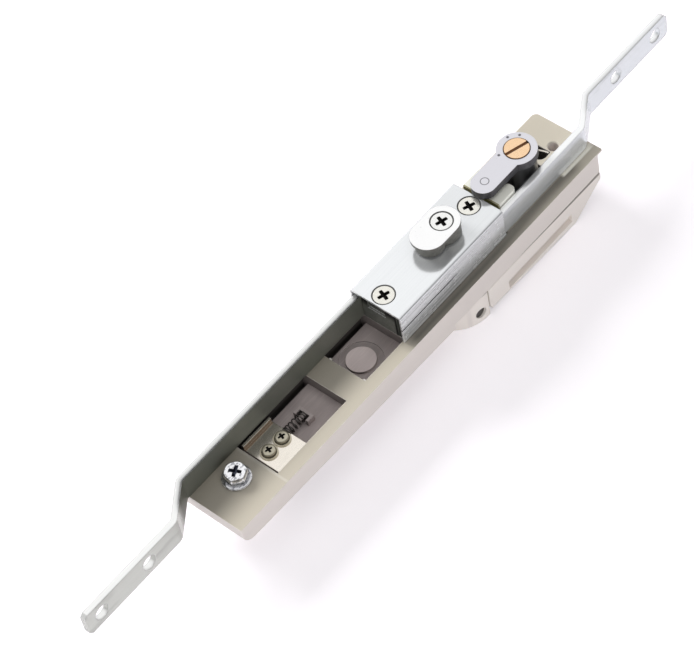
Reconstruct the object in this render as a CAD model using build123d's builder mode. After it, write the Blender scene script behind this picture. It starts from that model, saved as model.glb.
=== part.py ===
from build123d import *
from math import cos, pi, radians, sin, sqrt, tan
import os

# Two point rod lock with a lift-and-turn handle, seen from the back in its rest position.
# Millimetres. The origin is on the spindle axis, in the plane of the base's back face.
# +X runs along the rods towards the key cylinder, and +Z points out of the back of the base.

os.makedirs("parts", exist_ok=True)

# Base casting
base_left = 137.8
base_right = 73.7
base_width = 33.0
flange_thickness = 0.8
end_inset = 2.6
seat_depth = 10.8
left_end_depth = 9.9
left_round = 5.8
step_depth = 13.2
step_from_axis = 17.7
left_corner = 0.5
right_low_corner = 0.6
right_high_corner = 2.4

# Recesses in the back of the base
recess_depth = 5.2
recess_low_y = -11.0
recess_floor_high_y = 8.9
channel_depth = 8.6
slide_recess_left = -111.4
slide_recess_length = 38.8
crossbar = 10.7
boss_radius = 5.95
boss_height = 0.8
boss_from_left = 8.7
boss_y = -0.9
boss_halo = 2.8
halo_depth = 0.35
nib = 1.1

# Gearbox
gearbox_left = -40.3
gearbox_right = 20.2
cover_half_width = 12.2
cover_top = 15.0
cover_plate = 1.0
cover_wall = 0.8
cover_foot_gap = 0.2
cover_bend = 1.4
score_height = 7.4
score_width = 0.5
score_depth = 0.3
score_length = 36.0
body_end_inset = 1.3
body_side_gap = 0.3
body_ledge = 1.0
end_window_low_y = -3.0
end_window_high_y = 5.5
end_window_bottom = 7.3
end_window_top = 12.0
end_window_depth = 0.9
groove_end_gap = 1.0
cover_screw_left = -35.1
cover_screw_right = 15.2

# Gear train: a pinion between two racks
module = 1.0
pinion_teeth = 13
pressure_angle = 20.0
rack_addendum = 0.75
tooth_root_gap = 0.25
backlash = 0.2
flank_middle = 0.6
foot_share = 0.97
gear_low = 3.2
gear_height = 5.6
gear_room = 0.2
turn_angle = 90.0

# Rods
rod_thickness = 2.5
rod_height = 11.6
rod_lift = 0.2
rod_inner_y = 8.7
rod_end_beyond_rack = 0.5
joggle_length = 14.0
joggle_radius = 4.0
lower_joggle_start = -139.1
upper_joggle_start = 70.6
lower_end_y = -0.25
upper_end_y = -1.0
lower_hole_outer = -194.0
upper_hole_outer = 126.7
rod_hole_spacing = 25.0
rod_hole_radius = 3.25
rod_end_margin = 7.6
rod_end_chamfer = 1.6
rivet_radius = 1.1
rivet_land = 2.8

# Spindle and centre cam
journal_radius = 6.0
square_side = 6.0
head_square = 8.0
square_clearance = 0.03
running_clearance = 0.05
bush_wall = 1.45
bush_end_gap = 0.2
seal_height = 2.2
seal_section = 1.0
pinion_boss_radius = 5.0
collar_radius = 6.6
collar_height = 0.6
cam_gap = 0.2
cam_thickness = 6.1
cam_plate = 1.4
cam_radius = 7.2
cam_nose = 7.7
cam_hub_radius = 6.9
cam_boss_radius = 5.9
cam_screw_length = 12.0

# Swivel head and lever handle
head_gap = 0.3
head_rim = 0.4
head_bottom = 25.2
head_plate = 2.9
head_face_x = 1.2
hinge_gap = 0.7
pin_x = -3.1
pin_z = -20.0
pin_radius = 2.5
pin_recess = 0.9
knuckle_half_width = 6.0
knuckle_radius = 4.6
knuckle_gap = 1.2
slide_gap = 0.3
lift_angle = 18.0
handle_tip = 71.6
handle_tip_corner = 1.0
handle_tip_round = 2.2
handle_heel_z = -22.9
handle_grip_z = -23.4
handle_front_z = -25.2
handle_grip_left = 13.4
handle_grip_right = 52.3
handle_slope_start = 54.0
handle_tip_z = -14.4
grip_groove_top = -17.6
grip_groove_bottom = -22.4
grip_groove_depth = 2.2
handle_wall = 2.4
key_hole_radius = 8.2

# Key cylinder and its cam
cylinder_x = 44.55
barrel_radius = 7.0
barrel_flange_radius = 8.4
barrel_flange = 1.2
plug_radius = 4.6
key_cam_bottom = 15.4
key_cam_thickness = 3.5
key_cam_radius = 8.0
key_arm_reach = 19.9
key_arm_half_width = 5.15
brass_radius = 5.1
brass_height = 2.1
brass_slot = 1.3
brass_slot_turn = -18.0
clip_thickness = 1.0
clip_reach = 1.4
bay_floor = 7.4
bay_right = 54.2
bay_low_y = -8.35
bay_high_y = 9.0
tower_top = 13.4
tower_wall = 2.4
tower_leg_width = 4.4
tower_leg_length = 10.5
tower_leg_round = 1.6
tower_gap = 2.1
key_slot_width = 1.4
key_slot_height = 6.8
key_slot_depth = 20.0
pocket_left = 55.6
pocket_right = 61.5
pocket_low_y = -1.0
pocket_high_y = 8.0
pocket_round = 2.9
keeper_thickness = 0.8
keeper_end_gap = 0.6
keeper_wall_gap = 0.1
keeper_lean = 3.2
keeper_bow = 0.5
keeper_top = -0.2

# Release slide
slide_y = -1.25
slide_travel = 4.5
slide_plate_left = -109.9
slide_plate_length = 15.5
slide_plate_half_width = 9.35
slide_plate_top = -2.2
slide_plate_thickness = 1.0
slide_lip = 1.9
slide_screw_left = -105.4
slide_screw_spacing = 7.2
neck_length = 6.0
neck_half_width = 3.0
button_length = 14.0
button_half_width = 6.0
button_thickness = 2.6
button_gap = 0.5
button_corner = 1.5
button_grooves = 4
follower_half_width = 3.6
follower_inset = 0.8
spring_seat_x = -84.5
spring_seat_wall = 1.2
spring_seat_arm = 2.4
spring_y = -0.4
spring_radius = 1.85
spring_wire = 0.55
spring_turns = 8
spring_floor_gap = 0.25
spring_lead_turn = 80.0
spring_lead_rise = 0.95
spring_samples = 600
spring_peg_radius = 0.9
spring_peg_length = 3.4

# Fasteners
cover_screw_radius = 2.5
cover_screw_head = 4.6
cover_screw_length = 21.0
cover_screw_tip_room = 1.0
thread_play = 0.05
cross_length = 4.8
cross_width = 1.1
cross_depth = 1.7
small_screw_radius = 1.45
small_screw_head = 2.75
small_screw_head_height = 1.7
washer_radius = 3.5
washer_thickness = 0.5
small_cross = 2.8
small_cross_width = 0.7
mounting_x_left = -121.5
mounting_x_right = 64.3
mounting_hole_radius = 2.1
mounting_hole_depth = 8.0
mounting_hole_mouth = 0.45
flange_screw_radius = 5.9
flange_screw_rim = 1.3
hex_across_flats = 8.0
hex_height = 3.4
hex_chamfer_height = 0.5
hex_turn = 22.0
mounting_cross_turn = 26.0

# Sizes that follow from the ones above
round_end_x = left_round - base_left
front_slope = (step_depth - left_end_depth) / (-step_from_axis - round_end_x)
slide_recess_right = slide_recess_left + slide_recess_length
middle_recess_left = slide_recess_right + crossbar
body_left = gearbox_left + body_end_inset
body_right = gearbox_right - body_end_inset
body_half_width = rod_inner_y - body_side_gap
body_top = cover_top - cover_plate
rod_outer_y = rod_inner_y + rod_thickness
rod_middle_y = rod_inner_y + rod_thickness / 2
rod_hole_z = rod_lift + rod_height / 2
tooth_pitch = pi * module
pitch_radius = module * pinion_teeth / 2
tip_radius = pitch_radius + module
root_radius = pitch_radius - rack_addendum - tooth_root_gap
rod_stroke = pitch_radius * radians(turn_angle)
rack_tip_y = pitch_radius - rack_addendum
rack_root_y = pitch_radius + module + tooth_root_gap
mesh_reach = sqrt(tip_radius**2 - rack_tip_y**2) + gear_room
rack_inner = mesh_reach + rivet_land
rack_outer = rod_stroke + rack_inner
rod_overlap = rack_inner + rod_end_beyond_rack
gear_top = gear_low + gear_height
bush_radius = journal_radius + bush_wall
seal_outer = journal_radius + running_clearance + 2 * seal_section
journal_top = -bush_end_gap
collar_bottom = cover_top + cam_gap
cam_bottom = collar_bottom + collar_height
cam_top = cam_bottom + cam_thickness
screw_cone = cover_screw_head - cover_screw_radius
spindle_top = cam_top - screw_cone - cam_gap
head_top = -seat_depth - head_gap
head_plate_z = head_top - head_plate
head_radius = base_width / 2
heel_top_x = head_face_x + hinge_gap
lift_reach = head_face_x + slide_gap - pin_x
lift_cos = cos(radians(lift_angle))
lift_sin = sin(radians(lift_angle))
heel_low_x = pin_x + (lift_reach + (pin_z - handle_heel_z) * lift_sin) / lift_cos
heel_knee_z = pin_z - ((heel_top_x - pin_x) * lift_cos - lift_reach) / lift_sin
key_cam_top = key_cam_bottom + key_cam_thickness
brass_bottom = key_cam_top - brass_height + cam_gap
slide_plate_right = slide_plate_left + slide_plate_length
slide_plate_bottom = slide_plate_top - slide_plate_thickness
neck_left = slide_screw_left - neck_length / 2
neck_right = slide_screw_left + neck_length / 2
follower_left = neck_right + slide_gap
follower_right = slide_plate_right - follower_inset
spring_z = -recess_depth + spring_floor_gap + spring_radius + spring_wire / 2
tower_left = gearbox_right + tower_gap
tower_right = tower_left + tower_leg_length
keeper_end_x = pocket_right - keeper_wall_gap - keeper_thickness / 2
hex_corner_radius = hex_across_flats / 2 / cos(pi / 6)


def front_depth(x):
    """How far the base's sloped front lies from its back, to the left of the step."""
    return left_end_depth + front_slope * (x - round_end_x)


def rectangle_between(low, high, mode=Mode.ADD):
    """A rectangle of the sketch in hand, from one corner to the opposite one."""
    with Locations(((low[0] + high[0]) / 2, (low[1] + high[1]) / 2)):
        Rectangle(high[0] - low[0], high[1] - low[1], mode=mode)


def block_between(low, high, mode=Mode.ADD):
    """A block of the part in hand, from its lowest corner to its highest one."""
    middle = [(a + b) / 2 for a, b in zip(low, high)]
    with Locations(tuple(middle)):
        Box(high[0] - low[0], high[1] - low[1], high[2] - low[2], mode=mode)


def column(x, y, bottom, top, radius, mode=Mode.ADD):
    """A round column of the part in hand, standing on Z."""
    with Locations((x, y, (bottom + top) / 2)):
        Cylinder(radius, top - bottom, mode=mode)


def square_column(side, bottom, top, mode=Mode.ADD, x=0.0):
    """A square column of the part in hand about a vertical axis."""
    block_between((x - side / 2, -side / 2, bottom), (x + side / 2, side / 2, top), mode)


def cross_recess(x, y, top, length, width, depth, turn=0.0):
    """The four-winged driver recess in the top of a screw's head."""
    for size in ((length, width), (width, length)):
        with Locations(Location((x, y, top - depth / 2), (0, 0, turn))):
            Box(size[0], size[1], depth, mode=Mode.SUBTRACT)


def countersunk_screw(radius, head_radius, length):
    """A countersunk screw with a driver recess, its flat head in the plane of the sketch's origin."""
    with BuildPart() as screw:
        with BuildSketch(Plane.XZ):
            with BuildLine():
                Polyline(
                    (0, 0),
                    (head_radius, 0),
                    (radius, radius - head_radius),
                    (radius, -length),
                    (0, -length),
                    close=True,
                )
            make_face()
        revolve(axis=Axis.Z)
        cross_recess(0, 0, 0, cross_length, cross_width, cross_depth)
    return screw.part


def export(builder, label):
    """Names the finished piece and writes it."""
    builder.part.label = label
    export_step(builder.part, f"parts/{label}.step")


# Base casting: flat back with recesses, a forked tower, a stepped front, a thin flange at the right end
with BuildPart() as housing:
    half_width = base_width / 2
    for inset, depth in ((0, flange_thickness), (end_inset, step_depth)):
        with BuildSketch(Plane.XY):
            rectangle_between((-base_left, -half_width), (base_right - inset, half_width))
            fillet(vertices().group_by(Axis.X)[0], left_corner)
            fillet(vertices().group_by(Axis.X)[-1].sort_by(Axis.Y)[0], right_low_corner)
            fillet(vertices().group_by(Axis.X)[-1].sort_by(Axis.Y)[-1], right_high_corner)
        extrude(amount=-depth)
    with BuildSketch(Plane.XZ):
        rectangle_between((-step_from_axis, -2 * step_depth), (base_right, -seat_depth))
        with BuildLine():
            JernArc((-base_left, left_round - left_end_depth), (0, -1), left_round, 90)
            Polyline(
                (round_end_x, -left_end_depth),
                (-step_from_axis, -step_depth),
                (-step_from_axis, -2 * step_depth),
                (-base_left, -2 * step_depth),
                (-base_left, left_round - left_end_depth),
            )
        make_face()
    extrude(amount=base_width, both=True, mode=Mode.SUBTRACT)

    with BuildSketch(Plane.XY):
        rectangle_between((slide_recess_left, recess_low_y), (slide_recess_right, recess_floor_high_y))
        rectangle_between((middle_recess_left, recess_low_y), (body_left, recess_floor_high_y))
    extrude(amount=-recess_depth, mode=Mode.SUBTRACT)
    with BuildSketch(Plane.XY):
        rectangle_between((slide_recess_left, recess_floor_high_y), (slide_recess_right, rod_outer_y))
        rectangle_between((middle_recess_left, recess_floor_high_y), (body_left, rod_outer_y))
    extrude(amount=-channel_depth, mode=Mode.SUBTRACT)

    boss_x = middle_recess_left + boss_from_left
    column(boss_x, boss_y, -recess_depth - halo_depth, -recess_depth, boss_radius + boss_halo, Mode.SUBTRACT)
    column(boss_x, boss_y, -recess_depth - halo_depth, -recess_depth + boss_height, boss_radius)
    for nib_y in (recess_floor_high_y - 2 * nib, recess_low_y + nib):
        block_between(
            (middle_recess_left, nib_y - nib / 2, -recess_depth),
            (middle_recess_left + nib, nib_y + nib / 2, -nib),
        )

    seat_back = spring_seat_x + spring_seat_wall
    seat_half = spring_radius + spring_wire / 2 + slide_gap
    block_between(
        (spring_seat_x - spring_seat_arm, spring_y - seat_half - spring_seat_wall, -recess_depth),
        (seat_back, spring_y + seat_half + spring_seat_wall, spring_z + spring_wire),
    )
    block_between(
        (spring_seat_x - spring_seat_arm, spring_y - seat_half, -recess_depth),
        (spring_seat_x, spring_y + seat_half, 0),
        Mode.SUBTRACT,
    )
    with Locations(Location((spring_seat_x - spring_peg_length / 2, spring_y, spring_z), (0, 90, 0))):
        Cylinder(spring_peg_radius, spring_peg_length)

    block_between(
        (neck_left - slide_gap, slide_y - neck_half_width - slide_gap, -step_depth),
        (neck_right + slide_travel + slide_gap, slide_y + neck_half_width + slide_gap, -recess_depth),
        Mode.SUBTRACT,
    )

    with BuildSketch(Plane.XY):
        rectangle_between((tower_left, bay_low_y), (bay_right, bay_high_y))
    extrude(amount=-bay_floor, mode=Mode.SUBTRACT)
    with BuildSketch(Plane.XY.offset(-bay_floor)):
        rectangle_between((tower_left, bay_low_y), (tower_right, bay_high_y))
        rectangle_between(
            (tower_left + tower_wall, bay_low_y + tower_leg_width),
            (tower_right, bay_high_y - tower_leg_width),
            Mode.SUBTRACT,
        )
        fillet(vertices().group_by(Axis.X)[-1], tower_leg_round)
    extrude(amount=bay_floor + tower_top)
    with BuildSketch(Plane.XY):
        rectangle_between((pocket_left, pocket_low_y), (pocket_right, pocket_high_y))
        fillet(vertices().group_by(Axis.X)[0], pocket_round)
    extrude(amount=-bay_floor, mode=Mode.SUBTRACT)
    column(cylinder_x, 0, -seat_depth, -bay_floor, barrel_radius + thread_play, Mode.SUBTRACT)
    column(
        cylinder_x,
        0,
        -seat_depth,
        -seat_depth + barrel_flange + head_gap,
        barrel_flange_radius + thread_play,
        Mode.SUBTRACT,
    )

    column(0, 0, -seat_depth, 0, bush_radius, Mode.SUBTRACT)
    column(0, 0, -seat_depth, -seat_depth + seal_height, seal_outer, Mode.SUBTRACT)
    for screw_x in (cover_screw_left, cover_screw_right):
        screw_hole_end = cover_top - cover_screw_length - cover_screw_tip_room
        column(screw_x, 0, screw_hole_end, 0, cover_screw_radius + thread_play, Mode.SUBTRACT)
    for hole_x in (mounting_x_left, mounting_x_right):
        column(hole_x, 0, -mounting_hole_depth, 0, mounting_hole_radius, Mode.SUBTRACT)
        mouth_radius = mounting_hole_radius + mounting_hole_mouth
        with Locations((hole_x, 0, -mounting_hole_mouth / 2)):
            Cone(mounting_hole_radius, mouth_radius, mounting_hole_mouth, mode=Mode.SUBTRACT)
export(housing, "housing")

# Plain bush that carries the spindle in the base
with BuildPart() as spindle_bush:
    column(0, 0, -seat_depth + seal_height, journal_top, bush_radius)
    column(0, 0, -seat_depth, 0, journal_radius + running_clearance, Mode.SUBTRACT)
export(spindle_bush, "spindle_bush")

# Sealing ring in the front of the base, round the spindle
with BuildPart() as spindle_seal:
    with Locations((0, 0, -seat_depth + seal_height / 2)):
        Torus(seal_outer - seal_section, seal_section)
export(spindle_seal, "spindle_seal")

# Gearbox casting between the rods: a window in its left end, pinion room and a groove for each rack
with BuildPart() as gearbox_body:
    block_between((body_left, -body_half_width, 0), (body_right, body_half_width, body_top))
    block_between(
        (body_left, -body_half_width, body_top - body_ledge),
        (body_left + body_ledge, body_half_width, body_top),
        Mode.SUBTRACT,
    )
    block_between(
        (body_left, end_window_low_y, end_window_bottom),
        (body_left + end_window_depth, end_window_high_y, end_window_top),
        Mode.SUBTRACT,
    )
    for side in (-1, 1):
        groove = sorted((side * (rack_tip_y - gear_room), side * rod_outer_y))
        block_between(
            (-rack_outer - groove_end_gap, groove[0], gear_low - gear_room),
            (body_right, groove[1], gear_top + gear_room),
            Mode.SUBTRACT,
        )
    column(0, 0, 0, gear_top + gear_room, tip_radius + gear_room, Mode.SUBTRACT)
    column(0, 0, 0, body_top, pinion_boss_radius + running_clearance, Mode.SUBTRACT)
    with Locations((cover_screw_left, 0, cover_top), (cover_screw_right, 0, cover_top)):
        CounterSinkHole(cover_screw_radius + 2 * thread_play, cover_screw_head + thread_play, depth=cover_top)
export(gearbox_body, "gearbox_body")

# Bent steel cover over the gearbox and the rods, with a scored line along each side
with BuildPart() as gearbox_cover:
    block_between(
        (gearbox_left, -cover_half_width, cover_foot_gap),
        (gearbox_right, cover_half_width, cover_top),
    )
    long_edges = gearbox_cover.edges().filter_by(Axis.X).group_by(Axis.Z)[-1]
    fillet(long_edges, cover_bend)
    inner_half = cover_half_width - cover_wall
    block_between(
        (gearbox_left, -inner_half, cover_foot_gap),
        (gearbox_right, inner_half, body_top),
        Mode.SUBTRACT,
    )
    for side in (-1, 1):
        score = sorted((side * cover_half_width, side * (cover_half_width - score_depth)))
        block_between(
            (gearbox_left, score[0], score_height - score_width / 2),
            (gearbox_left + score_length, score[1], score_height + score_width / 2),
            Mode.SUBTRACT,
        )
    column(0, 0, body_top, cover_top, pinion_boss_radius + gear_room, Mode.SUBTRACT)
    with Locations((cover_screw_left, 0, cover_top), (cover_screw_right, 0, cover_top)):
        CounterSinkHole(cover_screw_radius + 2 * thread_play, cover_screw_head + thread_play, depth=cover_top)
export(gearbox_cover, "gearbox_cover")

# Two countersunk screws that hold cover and casting to the base
long_screw = countersunk_screw(cover_screw_radius, cover_screw_head, cover_screw_length)
with BuildPart() as cover_screws:
    with Locations((cover_screw_left, 0, cover_top), (cover_screw_right, 0, cover_top)):
        add(long_screw)
export(cover_screws, "cover_screws")


def involute(angle_of_roll, base_radius, start_angle):
    """The point where a taut string unwound from the base circle by this angle ends."""
    turn = start_angle + angle_of_roll
    return (
        base_radius * (cos(turn) + angle_of_roll * sin(turn)),
        base_radius * (sin(turn) - angle_of_roll * cos(turn)),
    )


def pinion_flank(side):
    """One flank of a tooth centred on +Y: a radial foot, then an arc through three involute points."""
    base_radius = pitch_radius * cos(radians(pressure_angle))
    roll_at_pitch = tan(radians(pressure_angle))
    half_thickness = (tooth_pitch - backlash) / (4 * pitch_radius)
    start = pi / 2 - half_thickness - (roll_at_pitch - radians(pressure_angle))
    roll_at_tip = sqrt((tip_radius / base_radius) ** 2 - 1)
    points = [involute(roll, base_radius, start) for roll in (0, roll_at_tip * flank_middle, roll_at_tip)]
    foot_radius = root_radius * foot_share
    foot = (foot_radius * cos(start), foot_radius * sin(start))
    return [(side * x, y) for x, y in [foot] + points]


# Pinion: thirteen teeth, with a round boss that turns in the casting and in the cover
with BuildPart() as pinion:
    right = pinion_flank(1)
    left = pinion_flank(-1)
    with BuildSketch(Plane.XY.offset(gear_low)):
        Circle(root_radius)
        with PolarLocations(0, pinion_teeth, start_angle=0):
            with BuildSketch(mode=Mode.PRIVATE) as tooth:
                with BuildLine():
                    Line(right[0], right[1])
                    ThreePointArc(right[1], right[2], right[3])
                    ThreePointArc(right[3], (0, tip_radius), left[3])
                    ThreePointArc(left[3], left[2], left[1])
                    Line(left[1], left[0])
                    Line(left[0], right[0])
                make_face()
            add(tooth.sketch)
    extrude(amount=gear_height)
    column(0, 0, journal_top, gear_low, root_radius)
    column(0, 0, gear_top, collar_bottom, pinion_boss_radius)
    square_column(square_side + 2 * square_clearance, journal_top, collar_bottom, Mode.SUBTRACT)
export(pinion, "pinion")

# Spindle: square in the head, round in the bush, square through pinion and cam
with BuildPart() as spindle:
    square_column(head_square, head_plate_z, head_top)
    column(0, 0, head_top, journal_top, journal_radius)
    square_column(square_side, journal_top, spindle_top)
    column(0, 0, collar_bottom - head_square, spindle_top, cover_screw_radius - thread_play, Mode.SUBTRACT)
export(spindle, "spindle")


def rod(inner_x, joggle_start, end_y, hole_outer, side, label):
    """A flat rod: straight beside the gearbox, joggled to the middle, with two holes in its free end."""
    outward = 1 if hole_outer > 0 else -1
    end_x = hole_outer + outward * rod_end_margin
    main_y = side * rod_middle_y
    with BuildPart() as bar:
        with BuildSketch(Plane.XY.offset(rod_lift)):
            with BuildLine():
                FilletPolyline(
                    (inner_x, main_y),
                    (joggle_start, main_y),
                    (joggle_start + outward * joggle_length, end_y),
                    (end_x, end_y),
                    radius=joggle_radius,
                )
            trace(line_width=rod_thickness)
        extrude(amount=rod_height)
        ends = bar.edges().filter_by(Axis.Y).group_by(Axis.X)
        chamfer(ends[-1 if outward > 0 else 0], rod_end_chamfer)
        for hole_x in (hole_outer, hole_outer - outward * rod_hole_spacing):
            with Locations(Location((hole_x, end_y, rod_hole_z), (90, 0, 0))):
                Cylinder(rod_hole_radius, 2 * rod_thickness, mode=Mode.SUBTRACT)
        for rivet_x in rivet_places(outward):
            with Locations(Location((rivet_x, main_y, gear_low + gear_height / 2), (90, 0, 0))):
                Cylinder(rivet_radius, 2 * rod_thickness, mode=Mode.SUBTRACT)
    export(bar, label)


def rivet_places(outward):
    """Where the rivets of a rack stand, in the plain land at each of its ends."""
    return outward * (rivet_land / 2 - rack_inner), outward * (rack_outer - rivet_land / 2)


def rack(outward, side, offset, label):
    """A rack on the inner face of a rod: a thin strip with straight-sided teeth between two lands."""
    slant = tan(radians(pressure_angle))
    half = (tooth_pitch - backlash) / 4
    half_tip = half - rack_addendum * slant
    half_root = half + (rack_root_y - pitch_radius) * slant
    strip = sorted((-outward * rack_inner, outward * rack_outer))
    toothed = sorted((-outward * mesh_reach, outward * (rod_stroke + mesh_reach)))
    count = pinion_teeth
    with BuildPart() as bar:
        with BuildSketch(Plane.XY.offset(gear_low)):
            rectangle_between((strip[0], rack_root_y), (strip[1], rod_inner_y))
            for number in range(-count, count + 1):
                middle = number * tooth_pitch + offset
                if toothed[0] + half_root <= middle <= toothed[1] - half_root:
                    with BuildLine():
                        Polyline(
                            (middle - half_root, rack_root_y),
                            (middle - half_tip, rack_tip_y),
                            (middle + half_tip, rack_tip_y),
                            (middle + half_root, rack_root_y),
                            close=True,
                        )
                    make_face()
        extrude(amount=gear_height)
        for rivet_x in rivet_places(outward):
            with Locations(Location((rivet_x, rod_middle_y, gear_low + gear_height / 2), (90, 0, 0))):
                Cylinder(rivet_radius, 2 * rod_outer_y, mode=Mode.SUBTRACT)
        if side < 0:
            mirror(about=Plane.XZ, mode=Mode.REPLACE)
    export(bar, label)


def rack_rivets(outward, side, label):
    """Two flush rivets that join a rack to its rod."""
    length = rod_outer_y - rack_root_y
    with BuildPart() as pair:
        for rivet_x in rivet_places(outward):
            middle = side * (rack_root_y + length / 2)
            with Locations(Location((rivet_x, middle, gear_low + gear_height / 2), (90, 0, 0))):
                Cylinder(rivet_radius, length)
    export(pair, label)


# The lower rod leaves towards -X on the +Y side, the upper rod towards +X on the -Y side
rod(rod_overlap, lower_joggle_start, lower_end_y, lower_hole_outer, 1, "lower_rod")
rod(-rod_overlap, upper_joggle_start, upper_end_y, upper_hole_outer, -1, "upper_rod")
rack(-1, 1, tooth_pitch / 2, "lower_rack")
rack(1, -1, 0, "upper_rack")
rack_rivets(-1, 1, "lower_rack_rivets")
rack_rivets(1, -1, "upper_rack_rivets")

# Collar under the centre cam, on the square of the spindle
with BuildPart() as cam_collar:
    column(0, 0, collar_bottom, cam_bottom, collar_radius)
    square_column(square_side + 2 * square_clearance, collar_bottom, cam_bottom, Mode.SUBTRACT)
export(cam_collar, "cam_collar")

# Centre cam: a round-ended plate cast in one with its hub and with a round boss under its nose
with BuildPart() as centre_cam:
    with BuildSketch(Plane.XY.offset(cam_top)):
        with Locations((-cam_nose / 2, 0)):
            SlotCenterToCenter(cam_nose, 2 * cam_radius)
    extrude(amount=-cam_plate)
    column(0, 0, cam_bottom, cam_top, cam_hub_radius)
    column(-cam_nose, 0, cam_bottom, cam_top, cam_boss_radius)
    square_column(square_side + 2 * square_clearance, cam_bottom, spindle_top + cam_gap, Mode.SUBTRACT)
    with Locations((0, 0, cam_top)):
        CounterSinkHole(cover_screw_radius + thread_play, cover_screw_head + thread_play, depth=cam_thickness)
export(centre_cam, "centre_cam")

# Screw that holds the cam on the spindle
cam_screw_radius = cover_screw_radius - 2 * thread_play
cam_screw = countersunk_screw(cam_screw_radius, cover_screw_head, cam_screw_length)
with BuildPart() as centre_cam_screw:
    with Locations((0, 0, cam_top)):
        add(cam_screw)
export(centre_cam_screw, "centre_cam_screw")

# Swivel head: a round head cut flat towards the handle, slotted for its knuckle
with BuildPart() as swivel_head:
    column(0, 0, -head_bottom, head_top, head_radius)
    fillet(swivel_head.edges().group_by(Axis.Z)[0], head_rim)
    with BuildSketch(Plane.XZ):
        rectangle_between((-2 * head_radius, -2 * head_bottom), (head_face_x, 0))
    extrude(amount=head_radius, both=True, mode=Mode.INTERSECT)
    knuckle_room = knuckle_half_width + slide_gap
    block_between(
        (pin_x - knuckle_radius - knuckle_gap, -knuckle_room, -head_bottom),
        (head_radius, knuckle_room, head_plate_z),
        Mode.SUBTRACT,
    )
    column(0, 0, head_plate_z, head_top, head_square - slide_gap)
    square_column(head_square, head_plate_z, head_top, Mode.SUBTRACT)
    with Locations(Location((pin_x, 0, pin_z), (90, 0, 0))):
        Cylinder(pin_radius, 2 * head_radius, mode=Mode.SUBTRACT)
export(swivel_head, "swivel_head")

# Pin that the handle lifts on
with BuildPart() as handle_pin:
    pin_half = sqrt(head_radius**2 - pin_x**2) - pin_recess
    with Locations(Location((pin_x, 0, pin_z), (90, 0, 0))):
        Cylinder(pin_radius, 2 * pin_half)
export(handle_pin, "handle_pin")

# Lever handle: heel and knuckle at the head, grooved grip, slanted tip, hollow underside
with BuildPart() as lever_handle:
    with BuildSketch(Plane.XZ):
        with BuildLine():
            Polyline(
                (heel_top_x, heel_knee_z),
                (heel_top_x, head_top),
                (handle_tip, head_top),
                (handle_tip, handle_tip_z),
                (handle_slope_start, handle_front_z),
                (handle_grip_left, handle_grip_z),
                (heel_low_x, handle_heel_z),
                close=True,
            )
        make_face()
        fillet(vertices().group_by(Axis.Y)[-1].sort_by(Axis.X)[-1], handle_tip_round)
    extrude(amount=base_width / 2, both=True)
    tip_edges = lever_handle.edges().filter_by(Axis.Z).group_by(Axis.X)[-1]
    fillet(tip_edges, handle_tip_corner)
    for side in (-1, 1):
        groove = sorted((side * base_width / 2, side * (base_width / 2 - grip_groove_depth)))
        block_between(
            (handle_grip_left, groove[0], grip_groove_bottom),
            (handle_grip_right, groove[1], grip_groove_top),
            Mode.SUBTRACT,
        )
    with BuildSketch(Plane.XZ):
        with Locations((pin_x, pin_z)):
            Circle(knuckle_radius)
        rectangle_between(
            (pin_x, handle_heel_z),
            (heel_top_x + slide_gap, pin_z + knuckle_radius - slide_gap),
        )
    extrude(amount=knuckle_half_width, both=True)
    with Locations(Location((pin_x, 0, pin_z), (90, 0, 0))):
        Cylinder(pin_radius + running_clearance, 2 * head_radius, mode=Mode.SUBTRACT)
    boss_room = head_square + slide_gap
    block_between(
        (heel_top_x, -boss_room, head_plate_z - slide_gap),
        (boss_room, boss_room, head_top),
        Mode.SUBTRACT,
    )
    hollow_half = base_width / 2 - grip_groove_depth - handle_wall
    block_between(
        (boss_room + handle_wall, -hollow_half, handle_grip_z + handle_wall),
        (cylinder_x - key_hole_radius - handle_wall, hollow_half, head_top),
        Mode.SUBTRACT,
    )
    block_between(
        (cylinder_x + key_hole_radius + handle_wall, -hollow_half, handle_tip_z - slide_gap),
        (handle_tip - 2 * handle_wall, hollow_half, head_top),
        Mode.SUBTRACT,
    )
    column(cylinder_x, 0, handle_front_z, head_top, key_hole_radius, Mode.SUBTRACT)
export(lever_handle, "lever_handle")

# Key cylinder: flanged barrel held from behind by a clip
with BuildPart() as lock_cylinder:
    barrel_bottom = -seat_depth + head_gap
    column(cylinder_x, 0, barrel_bottom, key_cam_bottom - cam_gap, barrel_radius)
    column(cylinder_x, 0, barrel_bottom, barrel_bottom + barrel_flange, barrel_flange_radius)
    with BuildSketch(Plane.XY.offset(-bay_floor)):
        with Locations((cylinder_x, 0)):
            Circle(barrel_radius + clip_thickness)
            Circle(barrel_radius - clip_thickness, mode=Mode.SUBTRACT)
    extrude(amount=clip_thickness, mode=Mode.SUBTRACT)
    column(cylinder_x, 0, barrel_bottom, key_cam_bottom, plug_radius + running_clearance, Mode.SUBTRACT)
export(lock_cylinder, "lock_cylinder")

# Horseshoe clip in the barrel's groove, against the floor of the bay
with BuildPart() as cylinder_clip:
    with BuildSketch(Plane.XY.offset(-bay_floor)):
        with Locations((cylinder_x, 0)):
            Circle(barrel_radius + clip_reach - slide_gap)
            Circle(barrel_radius - clip_thickness, mode=Mode.SUBTRACT)
        rectangle_between(
            (cylinder_x - 2 * barrel_radius, -barrel_radius + clip_thickness),
            (cylinder_x, barrel_radius - clip_thickness),
            Mode.SUBTRACT,
        )
    extrude(amount=clip_thickness)
export(cylinder_clip, "cylinder_clip")

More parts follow.
